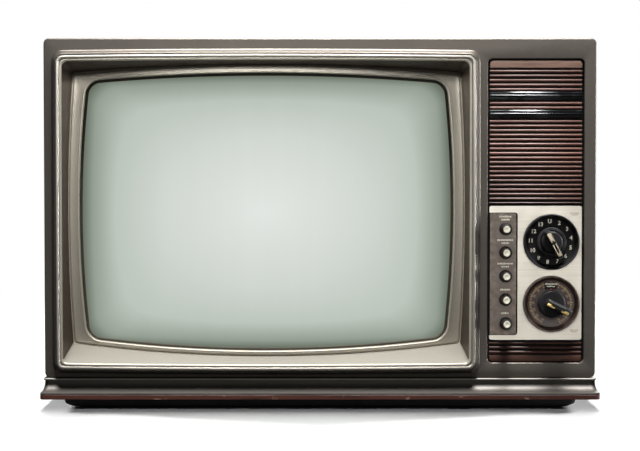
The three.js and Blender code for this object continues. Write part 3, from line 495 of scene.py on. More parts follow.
faint_gold = moulded("faint_gold_print", srgb(126, 102, 72), 0.5)
red_print = moulded("red_print", srgb(170, 52, 40), 0.45)
uhf_brown = moulded("uhf_scale_plastic", srgb(50, 38, 33), 0.4, specular=0.3)
silver_inlay = metal("silver_inlay", srgb(168, 158, 140), 0.45, brush=2, tarnish=srgb(84, 74, 60))
gold_inlay = metal("gold_inlay", srgb(176, 154, 100), 0.45, brush=0, tarnish=srgb(110, 88, 50))


def gloss_bar():
    """Polished black plastic with scuffed, greyed patches and fine streaks along the bar."""
    black = srgb(24, 25, 28)
    p = Paint("gloss_black", black, 0.16)
    streak = p.span(p.noise(700.0, drawn_out(0, 0.03), detail=3.0), 0.45, 0.75)
    patch = p.span(p.noise(30.0, drawn_out(0, 0.8), detail=4.0), 0.50, 0.62)
    scuff = p.times(p.times(streak, patch), 0.8)
    p.use("Base Color", p.mix(scuff, black, srgb(150, 160, 158)))
    p.use("Roughness", p.span(scuff, 0.0, 0.8, 0.12, 0.45))
    p.bump(streak, 0.00005, 0.5)
    return p.material


# The screen's painted glow by its reach: a slow fall from the middle, and a quick one at the edge.
SCREEN_PAINTED_LIGHT = [
    (0.0, srgb(228, 232, 228)), (0.5, srgb(208, 214, 208)), (0.78, srgb(190, 200, 190)),
    (0.93, srgb(150, 160, 148)), (1.0, srgb(86, 94, 80)),
]


def picture_glass():
    """The tube's face with a painted glow, in its emission and its base colour: brightest in the middle and
    greener and darker towards its edge.
    """
    p = Paint("picture_glass", srgb(96, 104, 96), 0.3, specular=0.3)
    glow = p.ramp(p.attribute("reach"), SCREEN_PAINTED_LIGHT)
    streaks = p.span(p.noise(60.0, drawn_out(2, 0.04), detail=3.0), 0.3, 0.7, 0.992, 1.008)
    grey = p.add("CombineColor", {0: streaks, 1: streaks, 2: streaks})
    p.use("Emission Color", p.mix(1.0, glow, grey, "MULTIPLY"))
    p.shader.inputs["Emission Strength"].default_value = 0.955
    p.use("Base Color", p.mix(1.0, glow, srgb(70, 72, 70), "MULTIPLY"))
    return p.material


gloss = gloss_bar()
picture = picture_glass()


# ---- Camera, floor and light ----

CAMERA = {"distance": 2200, "height": 283, "looks_down": 2.13, "lens": 114.06}


def make_camera():
    data = bpy.data.cameras.new("camera")
    data.sensor_width = 36.0
    data.lens = CAMERA["lens"]
    made = bpy.data.objects.new("camera", data)
    bpy.context.scene.collection.objects.link(made)
    made.location = place(0, -CAMERA["distance"], CAMERA["height"])
    made.rotation_euler = (math.radians(90 - CAMERA["looks_down"]), 0, 0)
    bpy.context.scene.camera = made


def for_the_eye(nodes, links, seen, other, output):
    """Shows one shader to the camera, and another to the light that falls on the other pieces."""
    eye = nodes.new("ShaderNodeLightPath").outputs["Is Camera Ray"]
    mixed = nodes.new("ShaderNodeMixShader")
    for socket, value in zip(mixed.inputs, (eye, other, seen)):
        links.new(value, socket)
    links.new(mixed.outputs[0], nodes[output].inputs["Surface"])


def make_floor():
    """A pale floor that fades into the backdrop away from the set. Only the eye sees its full brightness."""
    data = bpy.data.meshes.new("floor")
    reach = 6.0
    corners = [(-reach, -reach, 0), (reach, -reach, 0), (reach, reach, 0), (-reach, reach, 0)]
    data.from_pydata(corners, [], [(0, 1, 2, 3)])
    made = bpy.data.objects.new("floor", data)
    bpy.context.scene.collection.objects.link(made)
    fade_from, fade_to = 0.75, 1.7
    p = Paint("floor", (0.92, 0.92, 0.92, 1.0), 0.9, specular=0.0)
    length = p.nodes.new("ShaderNodeVectorMath")
    length.operation = "LENGTH"
    p.links.new(p.where, length.inputs[0])
    dull = p.add("BsdfDiffuse", {"Color": (0.03, 0.03, 0.03, 1.0)})
    far = p.span(length.outputs["Value"], fade_from, fade_to)
    seen = p.add("MixShader", {0: far, 1: p.shader.outputs[0], 2: p.add("Emission", {})})
    for_the_eye(p.nodes, p.links, seen, dull, "Material Output")
    data.materials.append(p.material)


def make_lamp(name, kind, power, color):
    data = bpy.data.lights.new(name, kind)
    data.energy = power
    data.color = color
    made = bpy.data.objects.new(name, data)
    bpy.context.scene.collection.objects.link(made)
    return made


def area_light(name, location, target, size, power, color=(1, 1, 1)):
    made = make_lamp(name, "AREA", power, color)
    made.data.shape = "RECTANGLE"
    made.data.size, made.data.size_y = size
    made.location = location
    made.rotation_euler = (Vector(target) - Vector(location)).to_track_quat("-Z", "Y").to_euler()
    return made


def share(lamp, state, *names):
    """INCLUDE keeps a lamp's light to the named pieces, and EXCLUDE keeps it off them."""
    group = bpy.data.collections.new(lamp.name + "_lit")
    for name in names:
        group.objects.link(bpy.data.objects[name])
    lamp.light_linking.receiver_collection = group
    for item in group.collection_objects:
        item.light_linking.link_state = state


def sun_light(name, slope, strength, soft, color=(1, 1, 1)):
    """A far light. slope is how far it stands to the right and to the front for each unit of height."""
    made = make_lamp(name, "SUN", strength, color)
    made.data.angle = math.radians(soft)
    made.rotation_euler = Vector((slope[0], -slope[1], 1.0)).to_track_quat("Z", "Y").to_euler()
    return made


def make_world():
    """White to the eye, and a dim room to everything else."""
    world = bpy.data.worlds.new("world")
    bpy.context.scene.world = world
    world.use_nodes = True
    nodes = world.node_tree.nodes
    white = nodes["Background"]
    white.inputs["Color"].default_value = (1, 1, 1, 1)
    room = nodes.new("ShaderNodeBackground")
    room.inputs["Color"].default_value = (0.95, 0.97, 1.0, 1)
    room.inputs["Strength"].default_value = 0.02
    for_the_eye(nodes, world.node_tree.links, white.outputs[0], room.outputs[0], "World Output")


# ---- Cabinet ----

def rounding(radius, steps=6):
    """(inset, depth) pairs round an edge, from its side to its face."""
    turns = [math.pi / 2 * i / steps for i in range(steps + 1)]
    return [(radius * (1 - math.cos(t)), radius * (1 - math.sin(t))) for t in turns]


def make_front():
    c = CABINET
    form = Form()
    half = (c["half"], (c["top"] - c["bottom"]) / 2)
    middle = (0.0, (c["top"] + c["bottom"]) / 2)

    def edge(inset, depth, corner=6.0):
        return stand(outline(grown(half, -inset), max(corner - inset, 1.0)), middle, depth)

    arc = rounding(c["round"])
    outer = [edge(0, c["depth"])] + [edge(i, d) for i, d in arc]
    wear = [0.0, 0.35] + [1.0 if 1 < k < 5 else 0.5 for k in range(1, len(arc) - 1)] + [0.15]
    face = form.loft(outer, wear, caps=False)
    inner = form.loft([edge(c["wall"], c["depth"]), edge(c["wall"], 5.0)], caps=False, slot=1)
    form.strip(face[0], inner[0], 1)

    profile = [(9.5, 0.0), (8.9, -0.1), (8.4, -0.5), (7.8, -1.5), (7.0, -3.4), (6.4, -5.6), (5.9, -7.6),
               (5.5, -8.5), (5.1, -8.9), (4.7, -9.0), (4.2, -9.0), (4.2, -5.0), (0.0, -5.0), (0.0, 5.0)]
    rings = [stand(outline(grown(APERTURE, g), 6.6 + 0.55 * g, BOW, 24, 10), SCREEN, d) for g, d in profile]
    opening = form.loft(rings, [0.1, 0.1, 0.2, 0.3, 0.3, 0.4, 0.8, 1, 0.8, 0.3, 0, 0, 0, 0], caps=False)

    p = PANEL
    hole_half = (p["half"], (p["top"] - p["bottom"]) / 2)
    hole_middle = (p["x"], (p["top"] + p["bottom"]) / 2)
    steps = [(0.9, 0.0), (0.45, 0.12), (0.12, 0.45), (0.0, 1.0), (0.0, 5.0)]
    rings = [stand(outline(grown(hole_half, g), p["corner"] + g), hole_middle, d) for g, d in steps]
    hole = form.loft(rings, [0.5, 0.9, 0.6, 0, 0], caps=False)
    form.fill(face[-1], opening[0], hole[0])
    form.fill(inner[-1], opening[-1], hole[-1], slot=1)
    form.finish("cabinet_front", [taupe, black_inside], replaces=["front_frame"])


def make_wrap():
    w = WRAP
    form = Form()
    front, back = CABINET["depth"] + 0.3, w["back"]
    side, up, bottom = w["half"] - w["corner"], w["top"] - w["corner"], CABINET["bottom"]

    def section(inset):
        """The inverted U of the sides and the top, as (across, up) pairs; inset pulls in its edges."""
        r = w["corner"] - inset
        outer = quarter((side, up), r, 0) + quarter((-side, up), r, 1)
        r = w["corner"] - w["wall"] + inset
        inner = quarter((-side, up), r, 2, way=-1) + quarter((side, up), r, 1, way=-1)
        out, into = w["half"] - inset, w["half"] - w["wall"] - inset
        return [(out, bottom)] + outer + [(-out, bottom), (-into, bottom)] + inner + [(into, bottom)]

    steps = [(0.5, front), (0.12, front + 0.15), (0.0, front + 0.5), (0.0, back - 0.8), (0.25, back - 0.25),
             (0.8, back)]
    rings = [[(x, d, z) for x, z in section(i)] for i, d in steps]
    form.loft(rings, [0.3, 0.3, 0.1, 0.1, 0.6, 0.6])
    form.finish("walnut_wrap", walnut_y, replaces=["cabinet_wrap"])


def flat_ring(half, front, back, z, corner=5.0):
    pairs = outline((half, (back - front) / 2), corner, side_steps=1, corner_steps=8)
    return [(x, (back + front) / 2 + y, z) for x, y in pairs]


def make_plinth():
    p = PLINTH
    form = Form()
    back, lip = p["back"], p["lip"]
    edge = [(1.8, p["bottom"], 0.0), (1.8, lip, 0.0), (0.3, lip, 0.9), (0.0, lip + 0.3, 1.0),
            (0.0, lip + 1.3, 1.0), (0.3, lip + 1.8, 0.9), (1.0, lip + 2.1, 0.5)]
    rings = [(flat_ring(p["half"] - inset, p["front"] + inset, back, z), wear) for inset, z, wear in edge]
    steps = 14
    foot = p["top"] - BEAD["high"]
    for step in range(1, steps + 1):
        turn = step / steps * math.pi / 2
        out = 1 - math.sin(turn)
        z = p["cove"] + (foot - p["cove"]) * (1 - math.cos(turn))
        rings.append((flat_ring(CABINET["half"] + 0.3 + 3.1 * out, -0.3 - 12.1 * out, back, z), 0.1))
    # The bead's rings carry full wear, which lightens its painted highlight further with rubbed paint.
    middle, radius = p["top"] - BEAD["high"] / 2, BEAD["high"] / 2
    for i in range(9):
        turn = math.pi * (i / 8 - 0.5)
        out = BEAD["proud"] - radius + radius * math.cos(turn)
        z = middle + radius * math.sin(turn)
        rings.append((flat_ring(CABINET["half"] + out / 2, -out, back, z), 1.0))
    inner = CABINET["half"] - CABINET["wall"]
    for z in (p["top"], p["bottom"] + 4):
        rings.append((flat_ring(inner, CABINET["wall"], back - 4, z), 0.0))
    rows = form.loft([r for r, _ in rings], [w for _, w in rings])
    # Faces of the bead take the second slot, the painted highlight.
    bead = {vertex for row in rows[-11:-2] for vertex in row}
    for face in form.mesh.faces:
        face.material_index = int(all(v in bead for v in face.verts))
    form.finish("plinth_moulding", [plinth_taupe_painted_shade, bead_highlight_taupe], replaces=["plinth"])


def make_plinth_band():
    """The wood-grain band: an open U round the front and both sides."""
    p = PLINTH
    form = Form()

    def path(inset):
        half, front, r = p["half"] - inset, p["front"] + inset, 5.0 - inset
        turns = quarter((r - half, front + r), r, 2) + quarter((half - r, front + r), r, 3)
        return [(-half, p["back"])] + turns + [(half, p["back"])]

    outer, inner = path(0.0), path(1.5)
    soft = path(0.25)
    top, bottom = 18.2, p["bottom"]
    layers = [(outer, bottom + 0.3, 1), (outer, top - 0.3, 1), (soft, top, 1), (inner, top, 0),
              (inner, bottom, 0), (soft, bottom, 1)]
    rows = [form.ring([(x, y, z) for x, y in points], wear) for points, z, wear in layers]
    for row, after in zip(rows, rows[1:] + rows[:1]):
        for i in range(len(outer) - 1):
            form.mesh.faces.new((row[i], row[i + 1], after[i + 1], after[i]))
    form.mesh.faces.new([row[0] for row in rows])
    form.mesh.faces.new([row[-1] for row in rows])
    form.finish("plinth_wood_band", band_wood, replaces=["plinth_edge_band"])


def make_base():
    form = Form()
    half, front, back, bottom = BASE["half"], BASE["front"], BASE["back"], BASE["bottom"]
    top = PLINTH["bottom"] - 0.3
    rows = [(12, 6, bottom), (9, 4, bottom + 0.3), (2.6, 1.2, bottom + 3.2), (1.6, 0.8, bottom + 4.4),
            (0, 0, top), (3, 3, top), (5, 5, bottom + 5.0), (14, 8, bottom + 3)]
    form.loft([flat_ring(half - side, front + end, back - end, z) for side, end, z in rows])
    form.finish("base_tray", base_grey_painted_light, replaces=["base_pan"])


make_front()
make_wrap()
make_plinth()
make_plinth_band()
make_base()


# ---- Picture mask, rim and glass ----

def glass_depth(x, z):
    return GLASS["depth"] + (x * x + z * z) / (2 * GLASS["radius"])


def mask_ring(part, by, before):
    pairs = outline(grown(part["half"], by), part["corner"] + by, part["bulge"], 24, 10)
    return stand(pairs, (SCREEN[0], SCREEN[1] + part["dz"]), lambda x, z: glass_depth(x, z) - before)


def mouth_ring(half, depth, corner=6.0, bow=BOW):
    return stand(outline(half, corner, bow, 24, 10), SCREEN, depth)


def bend(start, middle, end, steps):
    """Rings along a curve that leaves start and reaches end, drawn towards the middle ring."""
    made = []
    for t in steps:
        made.append([
            tuple((1 - t) ** 2 * a + 2 * t * (1 - t) * b + t * t * c for a, b, c in zip(pa, pb, pc))
            for pa, pb, pc in zip(start, middle, end)
        ])
    return made


def make_mask():
    """The mask: an outer crest, a sloping wall, and a lip with a bead along each edge, round to its back."""
    form = Form()
    mouth = mouth_ring(MOUTH, -8.1)
    valley = mask_ring(VALLEY, 0, 3.3)
    crest = [(2.6, 5.4, 0), (2.6, -9.6, 0), (2.2, -9.9, 0.5), (1.4, -9.8, 0.5), (0.6, -9.2, 0.5)]
    rings = [(mouth_ring(grown(MOUTH, by), depth), w) for by, depth, w in crest] + [(mouth, 0.4)]
    rings += [(between(mouth, valley, t), 0.15) for t in (0.04, 0.15, 0.3, 0.45, 0.6, 0.75, 0.86)]
    wall_rows = range(5, len(rings))
    # The wall turns into the lip by a small fillet in the valley.
    wall = between(mouth, valley, 0.93)
    foot = mask_ring(VALLEY, -0.9, 4.0)
    rings.append((wall, 0.15))
    rings += [(r, 0.3) for r in bend(wall, valley, foot, (0.3, 0.6))]
    outer_bead = [(-0.9, 4.0, 0.3), (-1.2, 4.8, 0.5), (-1.7, 5.4, 0.8), (-2.3, 5.6, 0.9), (-2.9, 5.45, 0.7),
                  (-3.4, 5.2, 0.3)]
    inner_bead = [(3.4, 5.1, 0.1), (2.8, 5.25, 0.3), (2.2, 5.5, 0.5), (1.5, 5.4, 0.7), (0.9, 4.9, 0.8),
                  (0.4, 4.1, 0.8), (0.1, 3.0, 0.5), (0.0, 1.4, 0.1)]
    rings += [(mask_ring(VALLEY, by, before), w) for by, before, w in outer_bead]
    rings += [(mask_ring(LIP, by, before), w) for by, before, w in inner_bead]
    rings += [(mask_ring(LIP, 0.6, 0.9), 0), (mask_ring(VALLEY, 1.0, 1.1), 0)]
    rings.append((mouth_ring(MASK_BACK, 8.2), 0))
    rings += [(mouth_ring(MASK_FLANGE, depth, 6.0, (0, 0)), 0) for depth in (8.2, 5.4)]
    rows = form.loft([r for r, _ in rings], [w for _, w in rings], loop=True)
    # The recess walls get the painted shade, and their up-facing bottom faces get the painted light.
    for row in wall_rows:
        paint_wall(rows[row], rows[row + 1])
    form.finish("mask_moulding", [pewter, wall_painted_shade, sill_painted_light], smooth=50, replaces=["picture_mask"])


def paint_wall(row, after):
    """Gives the faces between two rows the wall's painted shade, and those that face up at the bottom the
    sill's painted light.
    """
    both = set(row) | set(after)
    for face in {face for vertex in row for face in vertex.link_faces}:
        if all(v in both for v in face.verts):
            face.normal_update()
            below = face.calc_center_median().z < SCREEN[1] * MM
            face.material_index = 2 if below and abs(face.normal.z) > 0.4 else 1


def make_rim():
    form = Form()
    profile = [(3.8, -5.4), (3.8, -11.0), (3.65, -11.5), (3.2, -11.8), (2.6, -11.95), (1.9, -12.0),
               (1.2, -11.9), (0.6, -11.6), (0.15, -11.1), (0.0, -10.4), (0.0, -5.4)]
    form.loft([mouth_ring(grown(RIM_FOOT, g), d, 5.2 + 0.6 * g) for g, d in profile], loop=True)
    form.finish("mask_rim", chrome, smooth=50, replaces=["mask_trim_ring"])


def glow_reach(x, z, share):
    """How far out a point of the glass is: round near the middle, and shaped as the mask near the edge."""
    w, h = GLASS["half"]
    oval = 0.82 * share * math.hypot(x / w, z / h)
    t = min(1.0, max(0.0, (share - 0.45) / 0.5))
    edge = t * t * (3 - 2 * t)
    return min(1.0, (1 - edge) * min(1.0, oval) + edge * share)


def make_glass():
    form = Form()
    pairs = outline(GLASS["half"], GLASS["corner"], GLASS["bulge"], 24, 10)
    visible = 0.955
    rows = []
    # Each ring's points keep their reach, the mask of the painted glow.
    for share in [0.04 + 0.92 * i / 30 for i in range(31)] + [0.985]:
        rows.append(form.ring(stand([(x * share, z * share) for x, z in pairs], SCREEN, glass_depth)))
        for vertex, (x, z) in zip(rows[-1], pairs):
            vertex[form.reach] = glow_reach(x, z, share / visible)
    for a, b in zip(rows, rows[1:]):
        form.strip(a, b)
    centre = form.ring([(SCREEN[0], GLASS["depth"], SCREEN[1])])[0]
    for i in range(len(pairs)):
        form.mesh.faces.new((rows[0][i], rows[0][(i + 1) % len(pairs)], centre))
    small = outline(grown(GLASS["half"], -GLASS["wall"]), 16, GLASS["bulge"], 24, 10)
    chain = [rows[-1]]
    step = stand(pairs, SCREEN, lambda x, z: glass_depth(x, z) + 3)
    inside = stand(small, SCREEN, lambda x, z: glass_depth(x, z) + GLASS["wall"])
    for ring in (step, stand(pairs, SCREEN, GLASS["edge"]), stand(small, SCREEN, GLASS["edge"]), inside):
        chain.append(form.ring(ring, 0, 1))
    for a, b in zip(chain, chain[1:]):
        form.strip(a, b)
    form.cap(chain[-1])
    form.finish("picture_tube_face", picture, smooth=40, replaces=["tube_faceplate"])


def make_gasket():
    """A dark ring that shows between the mask's inner bead and the picture."""
    form = Form()
    profile = [(1.6, 0.2), (1.6, 1.0), (0.2, 1.3), (-1.4, 1.25), (-2.2, 0.95), (-2.7, 0.45), (-2.8, 0.2)]
    form.loft([mask_ring(LIP, by, before) for by, before in profile], loop=True)
    form.finish("picture_dark_ring", dark_ring, smooth=60)


make_mask()
make_rim()
make_glass()
make_gasket()


# ---- Control panel ----

def bar(form, section, round_ends):
    """A bar across the grille from a closed section of (depth, up) pairs. Its ends taper a little."""
    x0, x1 = GRILLE_LEFT, GRILLE_RIGHT
    depth, up = (sum(values) / len(section) for values in zip(*section))
    rings = []
    for x, size in ((x0, 0.82), (x0 + round_ends, 1.0), (x1 - round_ends, 1.0), (x1, 0.82)):
        rings.append([(x, depth + (d - depth) * size, up + (z - up) * size) for d, z in section])
    form.loft(rings)


def slat(form, top, height=PITCH - 1.75):
    """A slat: a round nose on a flat stem."""
    nose, root, foot, steps = 2.0, 3.8, 5.0, 10
    pairs = []
    for i in range(steps + 1):
        turn = math.pi * i / steps
        depth = root - (root - nose) * math.sin(turn) ** 0.8
        pairs.append((depth, top - height / 2 + height / 2 * math.cos(turn)))
    bar(form, pairs + [(foot, top - height), (foot, top)], 0.6)


def make_grille():
    form = Form()
    top, r = GRILLE_TOP, CORNER
    corners = [(GRILLE_LEFT, top - HEAD_BAND + 0.5), (GRILLE_RIGHT, top - HEAD_BAND + 0.5)]
    corners += quarter((GRILLE_RIGHT - r, top - r), r, 0, 6) + quarter((GRILLE_LEFT + r, top - r), r, 1, 6)
    # The head strip takes the third slot, the lighter walnut with painted light.
    plain_strip(form, corners, 2)
    below = int((LOWER_BAND - 2 * PITCH - GRILLE_BOTTOM) / PITCH)
    rows = []
    starts = [(GRILLE_TOP - HEAD_BAND, 5), (UPPER_BAND - 2 * PITCH, 2), (LOWER_BAND - 2 * PITCH, below)]
    for start, count in starts:
        rows += [start - i * PITCH - 1.7 for i in range(count)]
    for row in rows:
        slat(form, row)
    last = rows[-1] - PITCH
    slat(form, last, last - GRILLE_BOTTOM - 0.1)
    back_skin(form, GRILLE_TOP, GRILLE_BOTTOM)
    form.finish("louvre_grille", [slat_wood, black_inside, head_walnut_painted_light], replaces=["speaker_grille"])


def back_skin(form, top, bottom):
    """The thin black sheet behind the slats."""
    pairs = outline((GRILLE_HALF, (top - bottom) / 2), CORNER)
    middle = (PANEL["x"], (top + bottom) / 2)
    form.loft([stand(pairs, middle, SKIN[side]) for side in ("front", "back")], slot=1)


def plain_strip(form, pairs, slot=0):
    """A flat strip of a convex outline, with a softened front edge."""
    front, back, soft = 2.0, 5.0, 0.45
    xs, zs = [x for x, _ in pairs], [z for _, z in pairs]
    wide, tall = max(xs) - min(xs), max(zs) - min(zs)
    mx, mz = (max(xs) + min(xs)) / 2, (max(zs) + min(zs)) / 2
    rings = []
    for by, depth in ((0, back), (0, front + soft), (soft * 0.3, front + soft * 0.3), (soft, front)):
        sx, sz = 1 - 2 * by / wide, 1 - 2 * by / tall
        rings.append([(mx + (x - mx) * sx, depth, mz + (z - mz) * sz) for x, z in pairs])
    form.loft(rings, [0, 0.6, 0.6, 0.3], slot=slot)


def make_gloss_bands():
    height, ripples = 2 * PITCH - 0.9, 3
    for name, band in (("upper", UPPER_BAND), ("lower", LOWER_BAND)):
        form = Form()
        top = band - 0.5
        section = [(4.6, top), (2.6, top)]
        for i in range(25):
            t = i / 24
            ripple = 0.35 * math.cos(t * 2 * math.pi * ripples)
            section.append((2.2 - 1.0 * math.sin(math.pi * t) + ripple, top - height * t))
        section += [(2.6, top - height), (4.6, top - height)]
        bar(form, section, 0.8)
        form.finish(f"gloss_band_{name}", gloss, smooth=60, replaces=[f"grille_band_{name}"])


def make_lower_louvre():
    form = Form()
    for i in range(3):
        slat(form, LOUVRE["top"] - 1.2 - i * PITCH)
    bottom, height, r = LOUVRE["bottom"], LOUVRE["strip"], CORNER
    corners = [(GRILLE_RIGHT, bottom + height), (GRILLE_LEFT, bottom + height)]
    corners += quarter((GRILLE_LEFT + r, bottom + r), r, 2, 6)
    corners += quarter((GRILLE_RIGHT - r, bottom + r), r, 3, 6)
    plain_strip(form, corners)
    back_skin(form, LOUVRE["top"], LOUVRE["bottom"])
    form.finish("lower_louvres", [slat_wood, black_inside, slat_wood], replaces=["lower_louvre"])


def rounded(points, radii, steps=6):
    """A polygon with its corners rounded, as pairs. radii holds one number for each corner."""
    made = []
    for i, corner in enumerate(points):
        here, before, after = Vector(corner), Vector(points[i - 1]), Vector(points[(i + 1) % len(points)])
        start = here + (before - here).normalized() * radii[i]
        end = here + (after - here).normalized() * radii[i]
        for k in range(steps + 1):
            t = k / steps
            made.append(tuple((1 - t) ** 2 * start + 2 * t * (1 - t) * here + t * t * end))
    return made


def sheet(form, pairs, front, back, wear, holes):
    """A flat sheet with round holes, each as (radius, across, up, steps)."""
    layers = []
    for depth, w in ((front, wear), (back, 0)):
        layers.append([form.ring([(x, depth, z) for x, z in pairs], w)])
    form.strip(layers[0][0], layers[1][0])
    for radius, x, z, steps in holes:
        hole = [form.ring(circle(radius, x, depth, z, steps)) for depth in (front, back)]
        form.strip(*hole)
        for layer, ring in zip(layers, hole):
            layer.append(ring)
    for layer in layers:
        form.fill(*layer)


def make_plate():
    p, s = PLATE, STRIP
    left, right = PANEL["x"] - p["half"], PANEL["x"] + p["half"]
    inner = s["right"] + 1.4
    above, below = s["top"] + 0.6, s["bottom"] - 0.6
    corners = [(left, p["bottom"]), (right, p["bottom"]), (right, p["top"]), (left, p["top"]), (left, above),
               (inner, above), (inner, below), (left, below)]
    pairs = rounded(corners, [2.5, 2.5, 2.5, 2.5, 0.6, 3.4, 3.4, 0.6])
    holes = [(DIAL_HOLE_R, DIAL_X, z, 64) for z in (VHF_Z, UHF_Z)]
    form = Form()
    sheet(form, pairs, p["front"], p["front"] + p["thick"], 0.5, holes)
    form.finish("control_fascia", champagne, bevel=0.45, replaces=["control_plate"])


def make_strip():
    s = STRIP
    corners = [(s[side], s["bottom"]) for side in ("left", "right")]
    corners += [(s[side], s["top"]) for side in ("right", "left")]
    form = Form()
    holes = [(KNOB_HOLE_R, KNOB["x"], KNOB["top"] - i * KNOB["pitch"], 24) for i in range(len(NAMES))]
    sheet(form, rounded(corners, [0.8, 3.0, 3.0, 0.8]), s["front"], s["front"] + 1.8, 0.8, holes)
    form.finish("control_strip_face", umber, bevel=0.3, replaces=["control_strip"])


# The words beside each small knob, as (height above the knob, length).
KNOB_WORDS = [[(13.5, 12.5), (10.2, 8.0)], [(13.5, 16.7), (10.2, 8.0)], [(13.5, 16.7), (10.2, 8.0)],
              [(10.7, 10.0)], [(10.7, 8.5)]]


def make_marks():
    """Rows of short bars that stand for the words beside the controls."""
    rng = random.Random(7)
    form = Form()
    for i, words in enumerate(KNOB_WORDS):
        for up, wide in words:
            at = KNOB["top"] - i * KNOB["pitch"] + up
            bar_row(form, rng, KNOB["x"] - 0.4, at, wide, STRIP["front"], 2.0)
    form.finish("strip_marks", white_print)
    form = Form()
    for z in (213.6, 86.4):
        bar_row(form, rng, 276.2, z + 0.9, 8.8, PLATE["front"], 1.3)
        bar_row(form, rng, 276.2, z - 0.9, 6.8, PLATE["front"], 1.2)
    form.finish("plate_marks", faded_print)


def bar_row(form, rng, middle, z, wide, depth, tall):
    """A row of short bars of uneven length, as long as a word."""
    at = middle - wide / 2
    while at < middle + wide / 2:
        length = rng.uniform(0.7, 1.4)
        small_bar(form, at, at + length, depth, z + rng.uniform(-0.1, 0.1), tall * rng.uniform(0.75, 1.1))
        at += length + 0.4


def small_bar(form, x0, x1, depth, z, tall):
    corners = [(x0, z - tall / 2), (x1, z - tall / 2), (x1, z + tall / 2), (x0, z + tall / 2)]
    pairs = rounded(corners, [0.3] * 4, 2)
    form.loft([[(x, depth - out, up) for x, up in pairs] for out in (-0.05, 0.06)])


make_grille()
make_gloss_bands()
make_lower_louvre()
make_plate()
make_strip()
make_marks()


# ---- Knobs and dials ----

FONT_SIZE_PER_HEIGHT = 1.38


def make_knobs():
    for i, name in enumerate(NAMES):
        z = KNOB["top"] - i * KNOB["pitch"]
        out = PULLED_OUT if name == "volume" else 0.0
        end = STRIP["front"] - 0.7 - KNOB["length"] - out
        skirt = end + KNOB["length"]
        stem = 5.5 if out else 20.0
        form = Form()
        tip = [(0, 0.35), (3.9, 0.35), (4.0, 0.02), (4.2, -0.05), (4.5, 0.2), (4.7, 0.9), (5.2, 6)]
        base = [(6.2, -3.4), (6.9, -2.2), (6.95, -1.4), (6.9, -0.3), (6.5, 0), (3.0, 0)]
        profile = [(r, end + d) for r, d in tip] + [(r, skirt + d) for r, d in base]
        profile += [(3.0, stem), (0, stem)]
        wear = [0, 0.3, 0.6, 0.8, 0.6, 0.3, 0, 0, 0.3, 0.4, 0.3, 0, 0, 0, 0]
        turned(form, profile, KNOB["x"], z, 96, wear, 24, 0.32, (end + 0.8, skirt - 3.2))
        form.finish(f"{name}_knob_body", black, f"{name}_knob", smooth=45, replaces=[f"{name}_knob"])
        form = Form()
        cap = [(0, 0.05), (0.8, -0.02), (2.4, -0.3), (3.3, -0.42), (3.65, -0.3), (3.8, 0), (3.8, 0.34),
               (0, 0.34)]
        turned(form, [(r, end + d) for r, d in cap], KNOB["x"], z, 48, [0, 0, 0, 0.3, 0.6, 0.4, 0, 0])
        form.finish(f"{name}_knob_disc", cream, f"{name}_knob", smooth=45, replaces=[f"{name}_knob_cap"])


def number(text, x, depth, z, tall, turn=0.0):
    """A numeral as thin raised print, centred on a point and facing the front."""
    data = bpy.data.curves.new("numeral", "FONT")
    data.body = text
    data.size = tall * FONT_SIZE_PER_HEIGHT * MM
    data.extrude = 0.05 * MM
    data.offset = 0.12 * MM
    data.align_x = "CENTER"
    data.align_y = "CENTER"
    data.resolution_u = 3
    made = bpy.data.objects.new("numeral", data)
    bpy.context.scene.collection.objects.link(made)
    bpy.context.view_layer.update()
    mesh = bpy.data.meshes.new_from_object(made.evaluated_get(bpy.context.evaluated_depsgraph_get()))
    bpy.data.objects.remove(made)
    mesh.transform(Matrix.Rotation(math.radians(90), 4, "X"))
    mesh.transform(Matrix.Rotation(math.radians(turn), 4, "Y"))
    mesh.transform(Matrix.Translation(place(x, depth, z)))
    return mesh


def joined(name, meshes, material, body="cabinet"):
    """Several small meshes as one object."""
    whole = bmesh.new()
    for mesh in meshes:
        whole.from_mesh(mesh)
    data = bpy.data.meshes.new(name)
    whole.to_mesh(data)
    whole.free()
    finish_object(name, data, material, body)


def around(radius, degrees):
    """The place at an angle clockwise from the top."""
    turn = math.radians(degrees)
    return radius * math.sin(turn), radius * math.cos(turn)


def dial_profile(dish):
    """A dished disc: a flat face with two fine steps, a flared wall and a raised, rounded rim."""
    r, face, rim, bore = DIAL_R, dish["face"], dish["rim"], dish["bore"]
    step = face - 0.15
    flat = [(bore, 4.6), (bore, face), (17.0, face), (17.15, step), (17.5, step), (17.65, face),
            (DIAL_FACE_R - 0.5, face), (DIAL_FACE_R, step)]
    flare = [
        (DIAL_FACE_R + (r - 1.9 - DIAL_FACE_R) * t, face + (rim + 0.8 - face) * t ** 1.3)
        for t in (0.25, 0.5, 0.75, 0.92)
    ]
    edge = [(r - 1.6, rim + 0.25), (r - 1.2, rim), (r - 0.7, rim), (r - 0.25, rim + 0.25), (r, rim + 0.9)]
    return flat + flare + edge + [(r, 0.7), (r - 0.15, 1.1), (26.6, 1.1), (26.6, 4.6), (bore, 4.6)]


def make_dial(name, z, dish, material, body, replaced):
    form = Form()
    wear = [0.0] * 12 + [0.6, 0.9, 0.9, 0.6, 0.3] + [0.0] * 5
    turned(form, dial_profile(dish), DIAL_X, z, 96, wear)
    form.finish(name, material, body, smooth=40, replaces=[replaced])


